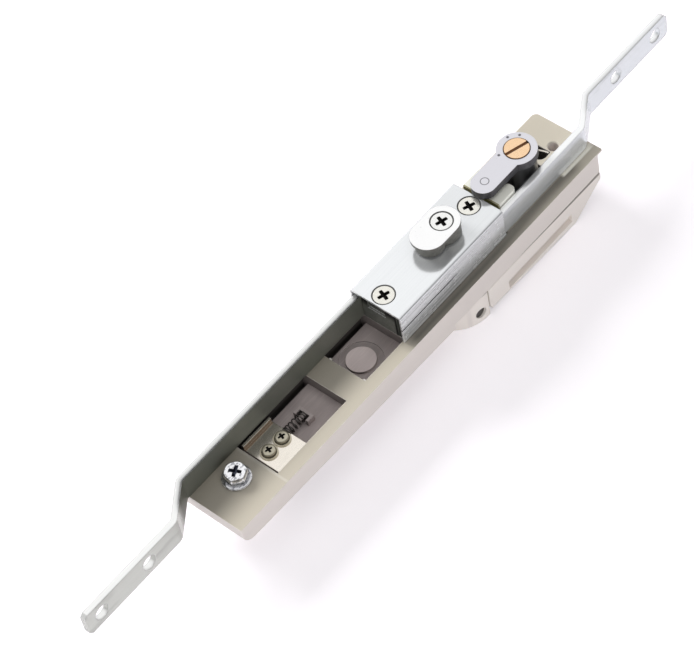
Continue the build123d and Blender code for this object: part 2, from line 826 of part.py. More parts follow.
# Bowed leaf spring that stands in the pocket beside the barrel
with BuildPart() as cylinder_keeper:
    with BuildSketch(Plane.XY.offset(-bay_floor)):
        with BuildLine():
            ThreePointArc(
                (keeper_end_x - keeper_lean, pocket_high_y - keeper_end_gap),
                (keeper_end_x - keeper_lean / 2 + keeper_bow, (pocket_low_y + pocket_high_y) / 2),
                (keeper_end_x, pocket_low_y + keeper_end_gap),
            )
        trace(line_width=keeper_thickness)
    extrude(amount=bay_floor + keeper_top)
export(cylinder_keeper, "cylinder_keeper")

# Plug that the key turns, square at the cam
with BuildPart() as lock_plug:
    plug_top = key_cam_bottom - cam_gap
    column(cylinder_x, 0, barrel_bottom, plug_top, plug_radius)
    square_column(square_side, plug_top, brass_bottom - cam_gap, x=cylinder_x)
    column(cylinder_x, 0, 0, brass_bottom, small_screw_radius + thread_play, Mode.SUBTRACT)
    block_between(
        (cylinder_x - key_slot_height / 2, -key_slot_width / 2, barrel_bottom),
        (cylinder_x + key_slot_height / 2, key_slot_width / 2, barrel_bottom + key_slot_depth / 2),
        Mode.SUBTRACT,
    )
export(lock_plug, "lock_plug")

# Cam of the key cylinder: a disc with a round-ended arm
with BuildPart() as key_cam:
    with BuildSketch(Plane.XY.offset(key_cam_bottom)):
        with Locations((cylinder_x, 0)):
            Circle(key_cam_radius)
        rectangle_between(
            (cylinder_x - key_arm_reach, -key_arm_half_width),
            (cylinder_x, key_arm_half_width),
        )
        with Locations((cylinder_x - key_arm_reach, 0)):
            Circle(key_arm_half_width)
    extrude(amount=key_cam_thickness)
    square_column(square_side + 2 * square_clearance, key_cam_bottom, brass_bottom, Mode.SUBTRACT, cylinder_x)
    column(cylinder_x, 0, brass_bottom, key_cam_top, brass_radius + gear_room, Mode.SUBTRACT)
export(key_cam, "key_cam")

# Slotted brass screw that holds the cam on the plug
with BuildPart() as brass_screw:
    column(cylinder_x, 0, brass_bottom, brass_bottom + brass_height, brass_radius)
    column(cylinder_x, 0, slide_gap, brass_bottom, small_screw_radius)
    with Locations(Location((cylinder_x, 0, brass_bottom + brass_height), (0, 0, brass_slot_turn))):
        Box(2 * key_cam_radius, brass_slot, brass_height, mode=Mode.SUBTRACT)
export(brass_screw, "brass_screw")

# Thumb button of the release slide, on the front of the base, with the neck through the floor
with BuildPart() as release_button:
    button_middle = slide_screw_left + (neck_length / 2)
    button_z = -front_depth(button_middle + button_length) - button_gap
    block_between(
        (button_middle - button_length / 2, slide_y - button_half_width, button_z - button_thickness),
        (button_middle + button_length / 2, slide_y + button_half_width, button_z),
    )
    fillet(release_button.edges().filter_by(Axis.Z), button_corner)
    groove_pitch = button_length / (button_grooves + 1)
    with BuildSketch(Plane.XZ.offset(-slide_y)):
        with Locations((button_middle, button_z - button_thickness)):
            with GridLocations(groove_pitch, 0, button_grooves, 1):
                Circle(groove_pitch / 4)
    extrude(amount=button_half_width, both=True, mode=Mode.SUBTRACT)
    block_between(
        (neck_left, slide_y - neck_half_width, button_z),
        (neck_right, slide_y + neck_half_width, slide_plate_bottom),
    )
    column(slide_screw_left, slide_y, button_z, slide_plate_bottom, small_screw_radius + thread_play, Mode.SUBTRACT)
export(release_button, "release_button")

# Block behind the slide's plate that the spring pushes on
with BuildPart() as spring_follower:
    block_between(
        (follower_left, slide_y - follower_half_width, -recess_depth + gear_room),
        (follower_right, slide_y + follower_half_width, slide_plate_bottom),
    )
    follower_screw = slide_screw_left + slide_screw_spacing
    column(
        follower_screw,
        slide_y,
        -recess_depth,
        slide_plate_bottom,
        small_screw_radius + thread_play,
        Mode.SUBTRACT,
    )
export(spring_follower, "spring_follower")

# Plate of the release slide, with one edge turned up
with BuildPart() as slide_plate:
    plate_high_y = slide_y + slide_plate_half_width
    block_between(
        (slide_plate_left, slide_y - slide_plate_half_width, slide_plate_bottom),
        (slide_plate_right, plate_high_y, slide_plate_top),
    )
    block_between(
        (slide_plate_left, plate_high_y - slide_plate_thickness, slide_plate_bottom),
        (slide_plate_right, plate_high_y, slide_plate_top + slide_lip),
    )
    for screw_x in (slide_screw_left, follower_screw):
        column(
            screw_x,
            slide_y,
            slide_plate_bottom,
            slide_plate_top,
            small_screw_radius + 2 * thread_play,
            Mode.SUBTRACT,
        )
export(slide_plate, "slide_plate")

# Washers and pan head screws of the release slide
with BuildPart() as slide_washers:
    for screw_x in (slide_screw_left, follower_screw):
        column(screw_x, slide_y, slide_plate_top, slide_plate_top + washer_thickness, washer_radius)
        column(
            screw_x,
            slide_y,
            slide_plate_top,
            slide_plate_top + washer_thickness,
            small_screw_radius + 2 * thread_play,
            Mode.SUBTRACT,
        )
export(slide_washers, "slide_washers")

with BuildPart() as slide_screws:
    head_low = slide_plate_top + washer_thickness
    head_high = head_low + small_screw_head_height
    for screw_x in (slide_screw_left, follower_screw):
        column(screw_x, slide_y, head_low, head_high, small_screw_head)
    fillet(slide_screws.edges().group_by(Axis.Z)[-1], small_screw_head_height / 2)
    for screw_x in (slide_screw_left, follower_screw):
        column(screw_x, slide_y, -recess_depth + gear_room, head_low, small_screw_radius)
        cross_recess(screw_x, slide_y, head_high, small_cross, small_cross_width, small_screw_head_height / 2)
export(slide_screws, "slide_screws")


def coil_point(angle, start_x, pitch):
    """A point of the spring's centre line and its direction, after turning by this angle."""
    rise = pitch / (2 * pi)
    place = Vector(
        start_x + rise * angle,
        spring_y + spring_radius * cos(angle),
        spring_z + spring_radius * sin(angle),
    )
    return place, Vector(rise, -spring_radius * sin(angle), spring_radius * cos(angle)).normalized()


def biarc(start, end):
    """Two arcs that join smoothly, from one point and direction to the next."""
    (p0, t0), (p1, t1) = start, end
    span = p1 - p0
    both = t0 + t1
    across = 2 * (1 - t0.dot(t1))
    reach = (-span.dot(both) + sqrt(span.dot(both) ** 2 + across * span.dot(span))) / across
    joint = (p0 + t0 * reach + p1 - t1 * reach) * 0.5
    first = TangentArc(p0, joint, tangent=t0)
    TangentArc(joint, p1, tangent=first % 1)


# Return spring of the release slide: one wire, straight for its own thickness at each end
with BuildPart() as slide_spring:
    lead = radians(spring_lead_turn)
    coil_start = follower_right + spring_wire + spring_lead_rise
    coil_length = spring_seat_x - follower_right - 2 * (spring_wire + spring_lead_rise)
    coil_angle = 2 * pi * spring_turns - lead * 2
    coil_pitch = coil_length / (coil_angle / (2 * pi))
    steps = 4 * spring_turns
    stations = [coil_point(coil_angle * step / steps, coil_start, coil_pitch) for step in range(steps + 1)]
    along = Vector(1, 0, 0)
    first_y = spring_y + spring_radius * cos(-lead)
    first_z = spring_z + spring_radius * sin(-lead)
    last_y = spring_y + spring_radius * cos(coil_angle + lead)
    last_z = spring_z + spring_radius * sin(coil_angle + lead)
    first_bend = (Vector(follower_right + spring_wire, first_y, first_z), along)
    last_bend = (Vector(spring_seat_x - spring_wire, last_y, last_z), along)
    with BuildLine() as wire_path:
        Line((follower_right, first_y, first_z), first_bend[0])
        for here, there in zip([first_bend] + stations, stations + [last_bend]):
            biarc(here, there)
        Line(last_bend[0], (spring_seat_x, last_y, last_z))
    with BuildSketch(Plane(origin=(follower_right, first_y, first_z), z_dir=(1, 0, 0))):
        Circle(spring_wire / 2)
    sweep(path=wire_path.wires()[0])
export(slide_spring, "slide_spring")


def least_gap(points, wire):
    """The least clear distance of a wire to itself, over points more than half a turn apart."""
    apart = int(len(points) / (2 * spring_turns))
    nearest = min(
        (points[i] - points[j]).length for i in range(len(points)) for j in range(i + apart, len(points))
    )
    return nearest - wire


spring_line = wire_path.wires()[0]
spring_points = [spring_line @ (step / spring_samples) for step in range(spring_samples + 1)]
print("spring: least gap to itself, mm", round(least_gap(spring_points, spring_wire), 2))
spring_volume = pi * (spring_wire / 2) ** 2 * spring_line.length
print("spring: volume over section times length", round(slide_spring.part.volume / spring_volume, 4))

# Hexagon of the mounting screw, its top edge turned to a cone
screw_top = flange_screw_rim + hex_height
with BuildPart() as hexagon:
    with BuildSketch(Plane.XY.offset(flange_screw_rim)):
        RegularPolygon(hex_across_flats / 2, 6, major_radius=False, rotation=hex_turn)
    extrude(amount=hex_height)
    with BuildSketch(Plane.XZ):
        Polygon(
            (0, flange_screw_rim),
            (hex_corner_radius, flange_screw_rim),
            (hex_corner_radius, screw_top - hex_chamfer_height),
            (hex_across_flats / 2, screw_top),
            (0, screw_top),
            align=None,
        )
    revolve(axis=Axis.Z, mode=Mode.INTERSECT)

# Flanged mounting screw at the left end of the base
with BuildPart() as mounting_screw:
    column(mounting_x_left, 0, 0, flange_screw_rim, flange_screw_radius)
    fillet(mounting_screw.edges().group_by(Axis.Z)[-1], flange_screw_rim / 2)
    with Locations((mounting_x_left, 0, 0)):
        add(hexagon.part)
    column(mounting_x_left, 0, -mounting_hole_depth + gear_room, 0, mounting_hole_radius - thread_play)
    cross_recess(mounting_x_left, 0, screw_top, cross_length, cross_width, cross_depth, mounting_cross_turn)
export(mounting_screw, "mounting_screw")

print("rod stroke for the full turn, mm", round(rod_stroke, 3))
print("pitch radius of the pinion, mm", pitch_radius)
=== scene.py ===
# %% [markdown]
# # Two point rod lock, seen from the back
#
# A lift-and-turn handle lock for a cabinet door lies on its front. The CAD model
# already has the right shapes in the right places, so this lesson dresses it: real
# finishes for the lacquered casting, the zinc plated steel and the tumbled zinc
# cams, and finer pieces where a screw or a spring is seen from close by.
# Everything is in metres, in the frame of the CAD model.

import math

import bpy
import numpy as np
from mathutils import Matrix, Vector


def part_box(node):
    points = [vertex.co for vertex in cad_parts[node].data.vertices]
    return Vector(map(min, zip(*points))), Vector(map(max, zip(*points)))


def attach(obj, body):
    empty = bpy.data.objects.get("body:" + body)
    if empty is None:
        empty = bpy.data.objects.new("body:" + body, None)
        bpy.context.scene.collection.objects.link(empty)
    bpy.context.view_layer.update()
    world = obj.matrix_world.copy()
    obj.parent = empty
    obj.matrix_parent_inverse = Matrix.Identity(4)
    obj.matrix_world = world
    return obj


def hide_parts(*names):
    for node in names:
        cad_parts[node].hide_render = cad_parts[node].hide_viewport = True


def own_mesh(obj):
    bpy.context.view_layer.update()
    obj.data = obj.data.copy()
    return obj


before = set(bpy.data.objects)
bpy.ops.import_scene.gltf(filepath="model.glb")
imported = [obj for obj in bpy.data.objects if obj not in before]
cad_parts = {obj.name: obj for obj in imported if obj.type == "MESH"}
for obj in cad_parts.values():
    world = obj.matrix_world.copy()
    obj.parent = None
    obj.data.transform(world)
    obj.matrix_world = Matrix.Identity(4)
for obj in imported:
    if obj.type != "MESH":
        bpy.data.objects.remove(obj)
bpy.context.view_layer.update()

# %% [markdown]
# ## The camera
#
# A camera is a place and three directions: right, up and back. These were worked
# out once, from the corners of the base and the holes in the rods. A long lens far
# away keeps the edges of the base almost parallel, as in a catalogue picture.

# %% Camera
MM = 0.001
CAMERA_PLACE = (-0.48898, -0.53372, 0.93269)
CAMERA_RIGHT = (0.641021, -0.755221, -0.136870)
CAMERA_UP = (0.667646, 0.460703, 0.584809)
CAMERA_BACK = (-0.378603, -0.466255, 0.799541)
LENS_LENGTH = 162.53  # in mm, on a sensor 36 mm wide


def camera_matrix(place, right, up, back):
    """The camera's axes are the columns of its matrix, and its place is the last one."""
    matrix = np.eye(4)
    matrix[:3, 0], matrix[:3, 1], matrix[:3, 2], matrix[:3, 3] = right, up, back, place
    return Matrix(matrix.tolist())


camera = bpy.data.objects.new("camera", bpy.data.cameras.new("camera"))
camera.data.sensor_fit = "HORIZONTAL"
camera.data.lens = LENS_LENGTH
camera.data.clip_end = 20.0
camera.matrix_world = camera_matrix(CAMERA_PLACE, CAMERA_RIGHT, CAMERA_UP, CAMERA_BACK)
bpy.context.scene.collection.objects.link(camera)
bpy.context.scene.camera = camera
bpy.context.scene.view_settings.view_transform = "Standard"
print("camera distance, m:", round(float(np.linalg.norm(CAMERA_PLACE)), 3))

# %% [markdown]
# ## Writing a finish
#
# A finish is a tree of nodes, and a tree is easier to read as sums and products.
# `Signal` wraps one output of a node, and each operator on it adds a Math node.
# `Finish` holds one material, and its `node` method makes every other node: the
# settings go in first, then the values or links of the sockets.

# %% Shader helpers
class Signal:
    """One number, colour or vector that a node gives out."""

    def __init__(self, finish, socket):
        self.finish, self.socket = finish, socket

    def math(self, operation, *values, clamp=False):
        """A Math node: the operation applied to the values in their order."""
        settings = {"operation": operation, "use_clamp": clamp}
        return self.finish.node("ShaderNodeMath", settings, dict(enumerate(values)))

    def __add__(self, other):
        return self.math("ADD", self, other)

    def __radd__(self, other):
        return self.math("ADD", other, self)

    def __sub__(self, other):
        return self.math("SUBTRACT", self, other)

    def __rsub__(self, other):
        return self.math("SUBTRACT", other, self)

    def __mul__(self, other):
        return self.math("MULTIPLY", self, other)

    def __rmul__(self, other):
        return self.math("MULTIPLY", other, self)

    def __truediv__(self, other):
        return self.math("DIVIDE", self, other)

    def __pow__(self, other):
        return self.math("POWER", self, other)

    def __neg__(self):
        return self.math("MULTIPLY", self, -1.0)

    def __abs__(self):
        return self.math("ABSOLUTE", self)

    def ramp(self, low, high, start=0.0, end=1.0):
        """A smooth step: start below low, end above high, and an S curve between."""
        settings = {"interpolation_type": "SMOOTHSTEP"}
        values = {0: self, 1: low, 2: high, 3: start, 4: end}
        return self.finish.node("ShaderNodeMapRange", settings, values)


class Finish:
    """One material, made of nodes on the Principled shader."""

    def __init__(self, name):
        self.material = bpy.data.materials.new(name)
        self.material.use_nodes = True
        self.tree = self.material.node_tree
        self.tree.nodes.clear()
        self.place = self.node("ShaderNodeTexCoord", out="Object")
        self.facing = self.node("ShaderNodeNewGeometry", out="True Normal")

    def node(self, kind, settings=None, values=None, out=0):
        """A node of this kind: its settings, its socket values or links, and the output wanted."""
        made = self.tree.nodes.new(kind)
        for key, value in (settings or {}).items():
            setattr(made, key, value)
        for key, value in (values or {}).items():
            if isinstance(value, Signal):
                self.tree.links.new(value.socket, made.inputs[key])
            else:
                made.inputs[key].default_value = value
        return Signal(self, made.outputs[out]) if made.outputs else None

    def axis(self, letter, vector=None):
        """One coordinate of a vector, by default of the place in metres."""
        return self.node("ShaderNodeSeparateXYZ", None, {0: vector or self.place}, out=letter)

    def stretched(self, sizes, turn=0.0):
        """Coordinates in which a pattern's grain has these sizes in metres along x, y and z."""
        values = {"Rotation": (0, 0, turn), "Scale": tuple(1 / s for s in sizes), "Vector": self.place}
        return self.node("ShaderNodeMapping", {"vector_type": "POINT"}, values)

    def away(self, x, y):
        """The distance from the upright line through x and y, in metres."""
        across, along = self.axis("X") - x, self.axis("Y") - y
        return (across * across + along * along) ** 0.5

    def between(self, signal, low, high, soft=0.15 * MM):
        """1 where a signal lies between two values and 0 outside, with soft ends."""
        return signal.ramp(low - soft, low + soft) * signal.ramp(high - soft, high + soft, 1.0, 0.0)

    def noise(self, sizes, detail=2.0, rough=0.5, turn=0.0):
        """Cloudy noise about 0.5, with lumps of these sizes in metres."""
        sizes = (sizes,) * 3 if isinstance(sizes, float) else sizes
        values = {"Vector": self.stretched(sizes, turn), "Scale": 1.0}
        values.update({"Detail": detail, "Roughness": rough})
        return self.node("ShaderNodeTexNoise", None, values)

    def mix(self, share, low, high):
        """A colour between two, by a share from 0 to 1."""
        values = {0: share, 6: low, 7: high}
        return self.node("ShaderNodeMix", {"data_type": "RGBA", "clamp_factor": True}, values, out=2)

    def tint(self, colour, strength):
        """A colour made lighter or darker by a number."""
        grey = self.node("ShaderNodeCombineXYZ", None, {0: strength, 1: strength, 2: strength})
        plain = colour if isinstance(colour, Signal) else colour[:3]
        return self.node("ShaderNodeVectorMath", {"operation": "MULTIPLY"}, {0: plain, 1: grey})

    def rounded(self, radius):
        """The normal that the surface would have if its edges had this radius."""
        return self.node("ShaderNodeBevel", {"samples": 6}, {"Radius": radius})

    def edges(self, radius):
        """1 on sharp edges and 0 on open faces: how far a rounded normal leans from the true one."""
        values = {0: self.rounded(radius), 1: self.facing}
        same = self.node("ShaderNodeVectorMath", {"operation": "DOT_PRODUCT"}, values, out="Value")
        return (1 - same).ramp(0.004, 0.16)

    def relief(self, height, depth, normal):
        """A bump of this height field, from 0 to 1, over a real depth in metres."""
        values = {"Height": height, "Distance": depth, "Strength": 1.0, "Normal": normal}
        return self.node("ShaderNodeBump", None, values)

    def surface(self, **sockets):
        """Ends the tree: names with _ for a space are sockets of the Principled shader."""
        values = {name.replace("_", " "): value for name, value in sockets.items()}
        shader = self.node("ShaderNodeBsdfPrincipled", None, values)
        self.node("ShaderNodeOutputMaterial", None, {"Surface": shader})
        return self.material


def srgb(red, green, blue):
    """A colour read off a screen, from 0 to 255, as the linear colour that a shader wants."""
    share = np.array([red, green, blue]) / 255
    linear = np.where(share <= 0.04045, share / 12.92, ((share + 0.055) / 1.055) ** 2.4)
    return (*linear.round(4).tolist(), 1.0)


print("helpers ready; mid grey is", srgb(128, 128, 128)[:3])

# %% [markdown]
# ## Floor and light
#
# Catalogue pictures are taken on a white sweep under large soft boxes. The floor
# here is a pale plane that also glows a little, for the camera and for mirrors, so
# that it comes out white and still takes the soft shadow. Plated parts show what
# stands round them, so the sky is a dome that is brightest above the far side and
# dimmer low down near the camera: that gives bright top faces and darker upright
# ones. Four soft boxes light the matt surfaces, and mirrors don't see them.

# %% Floor
FLOOR_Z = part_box("lever_handle")[0].z
FLOOR_HALF = 6.0
GLOW_FOR_CAMERA, GLOW_FOR_MIRRORS = 0.38, 0.18


def floor_material():
    """Diffuse floor plus a faint glow that only camera and mirror rays see."""
    paper = Finish("floor_paper")
    camera_ray = paper.node("ShaderNodeLightPath", out="Is Camera Ray")
    mirror_ray = paper.node("ShaderNodeLightPath", out="Is Glossy Ray")
    glow = GLOW_FOR_CAMERA * camera_ray + GLOW_FOR_MIRRORS * mirror_ray
    return paper.surface(
        Base_Color=srgb(236, 233, 237),
        Roughness=0.9,
        Emission_Color=srgb(255, 252, 255),
        Emission_Strength=glow,
        Specular_IOR_Level=0.1,
    )


def flat_square(name, half, z):
    """A square on the level z, from -half to half, its face pointing up."""
    corners = [(-half, -half, z), (half, -half, z), (half, half, z), (-half, half, z)]
    mesh = bpy.data.meshes.new(name)
    mesh.from_pydata(corners, [], [(0, 1, 2, 3)])
    made = bpy.data.objects.new(name, mesh)
    bpy.context.scene.collection.objects.link(made)
    return made


floor = flat_square("floor", FLOOR_HALF, FLOOR_Z - 0.02 * MM)
floor.data.materials.append(floor_material())
print("floor level, mm:", round(FLOOR_Z / MM, 2))

# %% Lamps and world
OBJECT_MIDDLE = np.array((-0.03, 0.0, 0.0))
SKY_BRIGHT_SIDE = (0.30, 0.42, 0.86)


def soft_box(name, direction, distance, size, share, colour=(1, 1, 1)):
    """A square lamp that lights a facing surface with this share of full white.

    A lamp of P watts at d metres gives a white surface P / (pi d)^2 of brightness,
    so P = share * (pi d)^2. Mirrors see the dome and not the lamp."""
    lamp = bpy.data.lights.new(name, "AREA")
    lamp.shape, lamp.size, lamp.color = "SQUARE", size, colour
    lamp.energy = share * (math.pi * distance) ** 2
    back = np.array(direction) / np.linalg.norm(direction)
    right = np.cross((0, 0, 1), back)
    right /= np.linalg.norm(right)
    place = OBJECT_MIDDLE + back * distance
    made = bpy.data.objects.new(name, lamp)
    made.matrix_world = camera_matrix(place, right, np.cross(back, right), back)
    made.visible_glossy = False
    bpy.context.scene.collection.objects.link(made)
    return made


def dome_world(bright_side, dim, bright, fill):
    """A sky whose strength rises from dim to bright towards one side; the camera sees plain white.

    With c the cosine of the angle to the bright side, mirrors see
    dim + (bright - dim) * smoothstep(c from -0.25 to 0.8), and matt faces get fill times that."""
    world = bpy.data.worlds.new("studio")
    bpy.context.scene.world = world
    world.use_nodes = True
    nodes, links = world.node_tree.nodes, world.node_tree.links
    background = nodes["Background"]
    background.inputs["Color"].default_value = (1.0, 1.0, 1.0, 1.0)
    way = nodes.new("ShaderNodeTexCoord")
    cosine = nodes.new("ShaderNodeVectorMath")
    cosine.operation = "DOT_PRODUCT"
    cosine.inputs[1].default_value = tuple(np.array(bright_side) / np.linalg.norm(bright_side))
    rise = nodes.new("ShaderNodeMapRange")
    rise.interpolation_type = "SMOOTHSTEP"
    for socket, value in zip(("From Min", "From Max", "To Min", "To Max"), (-0.25, 0.8, dim, bright)):
        rise.inputs[socket].default_value = value
    rays = nodes.new("ShaderNodeLightPath")
    share, dimmed, seen = (nodes.new("ShaderNodeMath") for _ in range(3))
    share.operation, dimmed.operation, seen.operation = "MAXIMUM", "MULTIPLY", "MAXIMUM"
    share.inputs[1].default_value = fill
    links.new(way.outputs["Generated"], cosine.inputs[0])
    links.new(cosine.outputs["Value"], rise.inputs["Value"])
    links.new(rays.outputs["Is Glossy Ray"], share.inputs[0])
    links.new(share.outputs[0], dimmed.inputs[0])
    links.new(rise.outputs["Result"], dimmed.inputs[1])
    links.new(dimmed.outputs[0], seen.inputs[0])
    links.new(rays.outputs["Is Camera Ray"], seen.inputs[1])
    links.new(seen.outputs[0], background.inputs["Strength"])
    return world


dome_world(SKY_BRIGHT_SIDE, 0.22, 1.06, 0.31)
soft_box("key_box", (-0.05, 0.82, 0.57), 1.6, 0.7, 0.84)
soft_box("front_box", (-0.45, -1.0, 0.12), 1.6, 1.2, 0.68)
soft_box("left_box", (-1.0, 0.05, 0.30), 1.4, 0.9, 0.18)
soft_box("top_box", (0.15, -0.10, 1.0), 1.6, 1.3, 0.20)

# %% [markdown]
# ## Lacquered casting
#
# The base and the handle are zinc castings with a satin champagne lacquer. On the base
# one lacquer is given two tones: the back face is written more olive and the sides
# paler, which paints light and shade for how light falls on level and upright faces.
# The pockets are almost bare grey, with painted shade in their deep channel, in the
# bay and under the cover. The tower is painted near white against the shade of the
# cam arm, and its wall towards the gearbox shows olive chromate from an earlier dip.
# All these are told apart by where a point lies and which way its face looks.

# %% Lacquer on the base
# CHAMPAGNE and OFF_WHITE are one lacquer in two tones: painted light and shade for level and upright faces.
CHAMPAGNE = srgb(210, 202, 186)
OFF_WHITE = srgb(230, 222, 217)
HANDLE_WHITE = srgb(244, 237, 231)
POCKET_GREY = srgb(182, 171, 169)
POCKET_LEFT, POCKET_RIGHT, BAY_LEFT, BAY_RIGHT = -111.5 * MM, -38.9 * MM, 19.0 * MM, 61.7 * MM
POCKET_NEAR, POCKET_FAR = -11.15 * MM, 11.35 * MM
BOSS_MIDDLE = (-53.2 * MM, -0.9 * MM)


def cast_lacquer(name, back_colour, side_colour):
    """Side colour everywhere, and back colour on the level face near z = 0: one lacquer in two tones,
    painting light and shade.
    """
    paint = Finish(name)
    z = paint.axis("Z")
    level = paint.axis("Z", paint.facing).ramp(0.5, 0.8) * z.ramp(-0.9 * MM, -0.3 * MM)
    cloud = paint.noise((34 * MM, 14 * MM, 14 * MM), 3.0)
    grain = paint.noise(0.35 * MM, 2.0)
    wear = paint.noise(3 * MM, 3.0).ramp(0.52, 0.70)
    colour = paint.mix(level, side_colour, back_colour)
    return paint, level, cloud, grain, wear, colour


def finish_lacquer(paint, cloud, grain, wear, colour, dull):
    """Clouds, worn edges with a painted highlight, and orange peel over a painted colour; dull is 1 where it
    is bare.
    """
    colour = paint.tint(colour, 0.93 + 0.09 * cloud + 0.03 * grain)
    # Wear and a painted highlight: convex edges are written pale.
    worn_and_highlit_edges = paint.edges(0.45 * MM) * (1 - dull) * (0.60 + 0.35 * wear)
    colour = paint.mix(worn_and_highlit_edges, colour, srgb(250, 246, 238))
    return paint.surface(
        Base_Color=colour,
        Roughness=0.38 + 0.10 * cloud + 0.25 * dull,
        Normal=paint.relief(grain, 0.012 * MM, paint.rounded(0.30 * MM)),
        Specular_IOR_Level=0.5,
    )


def base_coat():
    """The base: grey pockets with painted shade in the channel, the bay and under the cover; the tower
    painted pale against shade, with an olive wall.

    Painted shade darkens level faces beside the upper rod and the cover, apart from a
    painted pool of light where the rod bends away, and darkens the left end towards the lower rod."""
    paint, level, cloud, grain, wear, colour = cast_lacquer("base_lacquer", CHAMPAGNE, OFF_WHITE)
    x, y, z = (paint.axis(letter) for letter in "XYZ")
    below = z.ramp(-0.9 * MM, -0.3 * MM, 1.0, 0.0) * paint.between(y, POCKET_NEAR, POCKET_FAR)
    pocket = below * paint.between(x, POCKET_LEFT, POCKET_RIGHT)
    # Painted shade: the channel along the pockets' far side is written near black.
    deep = pocket * paint.between(y, 8.8 * MM, 11.4 * MM, 0.3 * MM)
    # Painted shade: the bay round the lock is written near black below the back face.
    bay = below * paint.between(x, BAY_LEFT, BAY_RIGHT) * paint.between(y, -8.5 * MM, 9.7 * MM)
    # Painted shade: the back face under the gearbox cover is written dark.
    shaded_under_cover = level * paint.between(x, -39.6 * MM, 21.9 * MM, 0.5 * MM)
    shaded_under_cover = shaded_under_cover * paint.between(y, -11.6 * MM, 11.6 * MM, 0.5 * MM)
    radius = paint.away(*BOSS_MIDDLE)
    boss = pocket * radius.ramp(5.7 * MM, 6.0 * MM, 1.0, 0.0)
    # Painted shadow: a ring round the boss makes the pocket grey a little darker.
    boss_shadow = pocket * paint.between(radius, 6.0 * MM, 8.8 * MM, 0.4 * MM)
    # Painted light: the tower is written near white to make up for the shade of the cam arm over it.
    tower = z.ramp(0.3 * MM, 0.8 * MM)
    olive = tower * x.ramp(22.6 * MM, 23.1 * MM, 1.0, 0.0)
    scrape = paint.noise((9 * MM, 0.7 * MM, 2 * MM), 3.0, 0.6, 0.3).ramp(0.45, 0.75)
    grey = paint.tint(POCKET_GREY, 0.80 + 0.34 * cloud + 0.16 * scrape - 0.07 * boss_shadow + 0.72 * boss)
    colour = paint.mix(pocket, colour, grey)
    colour = paint.mix(deep, colour, srgb(48, 45, 42))
    colour = paint.mix(bay, colour, srgb(42, 39, 36))
    colour = paint.mix(shaded_under_cover, colour, srgb(70, 66, 58))
    # Painted highlight: the tops of the small bumps on the crossbar are written near white.
    nib_highlight = pocket * paint.between(x, -61.8 * MM, -60.75 * MM) * (z.ramp(-2.2 * MM, -1.6 * MM))
    colour = paint.mix(nib_highlight, colour, srgb(248, 244, 238))
    colour = paint.mix(tower, colour, srgb(254, 254, 244))
    colour = paint.mix(olive, colour, srgb(148, 140, 88))
    # Painted highlight: a paler strip on the back face along the pocket's left edge.
    lip_highlight = level * paint.between(x, POCKET_LEFT - 1.0 * MM, POCKET_LEFT, 0.3 * MM) * 0.4
    colour = paint.mix(lip_highlight, colour, srgb(240, 236, 226))
    # Painted shade: pocket walls that face -X are written dark grey.
    shaded_near_wall = paint.axis("X", paint.facing).ramp(-0.8, -0.4, 1.0, 0.0)
    shaded_near_wall = shaded_near_wall * paint.between(y, POCKET_NEAR, POCKET_FAR)
    shaded_near_wall = shaded_near_wall * paint.between(x, POCKET_LEFT, POCKET_RIGHT + 0.4 * MM)
    shaded_near_wall = shaded_near_wall * z.ramp(0.1 * MM, 0.2 * MM, 1.0, 0.0)
    colour = paint.mix(shaded_near_wall, colour, srgb(112, 105, 103))
    # Painted shade: the back face at the left end darkens towards the lower rod.
    lower_rod_shade = level * y.ramp(-15 * MM, -1 * MM) * x.ramp(-38 * MM, -20 * MM, 0.50, 0.0)
    # Painted shade and reflection: the strip of back face along the cover's side and the upper rod is
    # darkened.
    cover_shade = 0.68 + 0.14 * paint.between(y, -15.0 * MM, -13.4 * MM, 1.0 * MM)
    upper_rod_shade = y.ramp(-17.5 * MM, -12.5 * MM, 0.15, 0.72)
    share = x.ramp(5 * MM, 45 * MM)
    under = level * y.ramp(-11.8 * MM, -10.6 * MM, 1.0, 0.0)
    under = under * (cover_shade * (1.0 - share) + upper_rod_shade * share)
    under = under * x.ramp(-44 * MM, -35 * MM) * x.ramp(58 * MM, 66 * MM, 1.0, 0.3)
    # Painted light: past the rod's bend the strip is written pale, where light reaches it.
    lit_wedge = level * x.ramp(54 * MM, 56 * MM) * x.ramp(70 * MM, 75 * MM, 1.0, 0.0)
    lit_wedge = lit_wedge * paint.between(y, -12.7 * MM, -10.2 * MM, 0.4 * MM)
    colour = paint.tint(colour, (1.0 - lower_rod_shade) * (1.0 - under * (1.0 - lit_wedge)))
    colour = paint.mix(lit_wedge * 0.8, colour, srgb(254, 250, 238))
    dull = (pocket + bay).math("MINIMUM", pocket + bay, 1.0)
    return finish_lacquer(paint, cloud, grain, wear, colour, dull)


def handle_coat():
    """The handle and its head: pale, greyer on the groove's floor, with painted shade along the gap to the
    base.
    """
    paint, level, cloud, grain, wear, colour = cast_lacquer("handle_lacquer", HANDLE_WHITE, HANDLE_WHITE)
    x = paint.axis("X")
    groove = paint.between(abs(paint.axis("Y")), 13.9 * MM, 14.8 * MM, 0.3 * MM)
    colour = paint.mix(groove * 0.5, colour, srgb(228, 221, 217))
    # Painted shade: a dark line along the handle's top edge where it meets the base, widening towards the
    # tip.
    gap = (0.20 * MM + 1.0 * MM * x.ramp(5 * MM, 80 * MM)) * x.ramp(-4 * MM, 2 * MM)
    gap_shade = (paint.axis("Z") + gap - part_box("lever_handle")[1].z).ramp(-0.15 * MM, 0.15 * MM)
    colour = paint.mix(gap_shade * 0.8, colour, srgb(112, 106, 98))
    return finish_lacquer(paint, cloud, grain, wear, colour, 0.2 * groove)


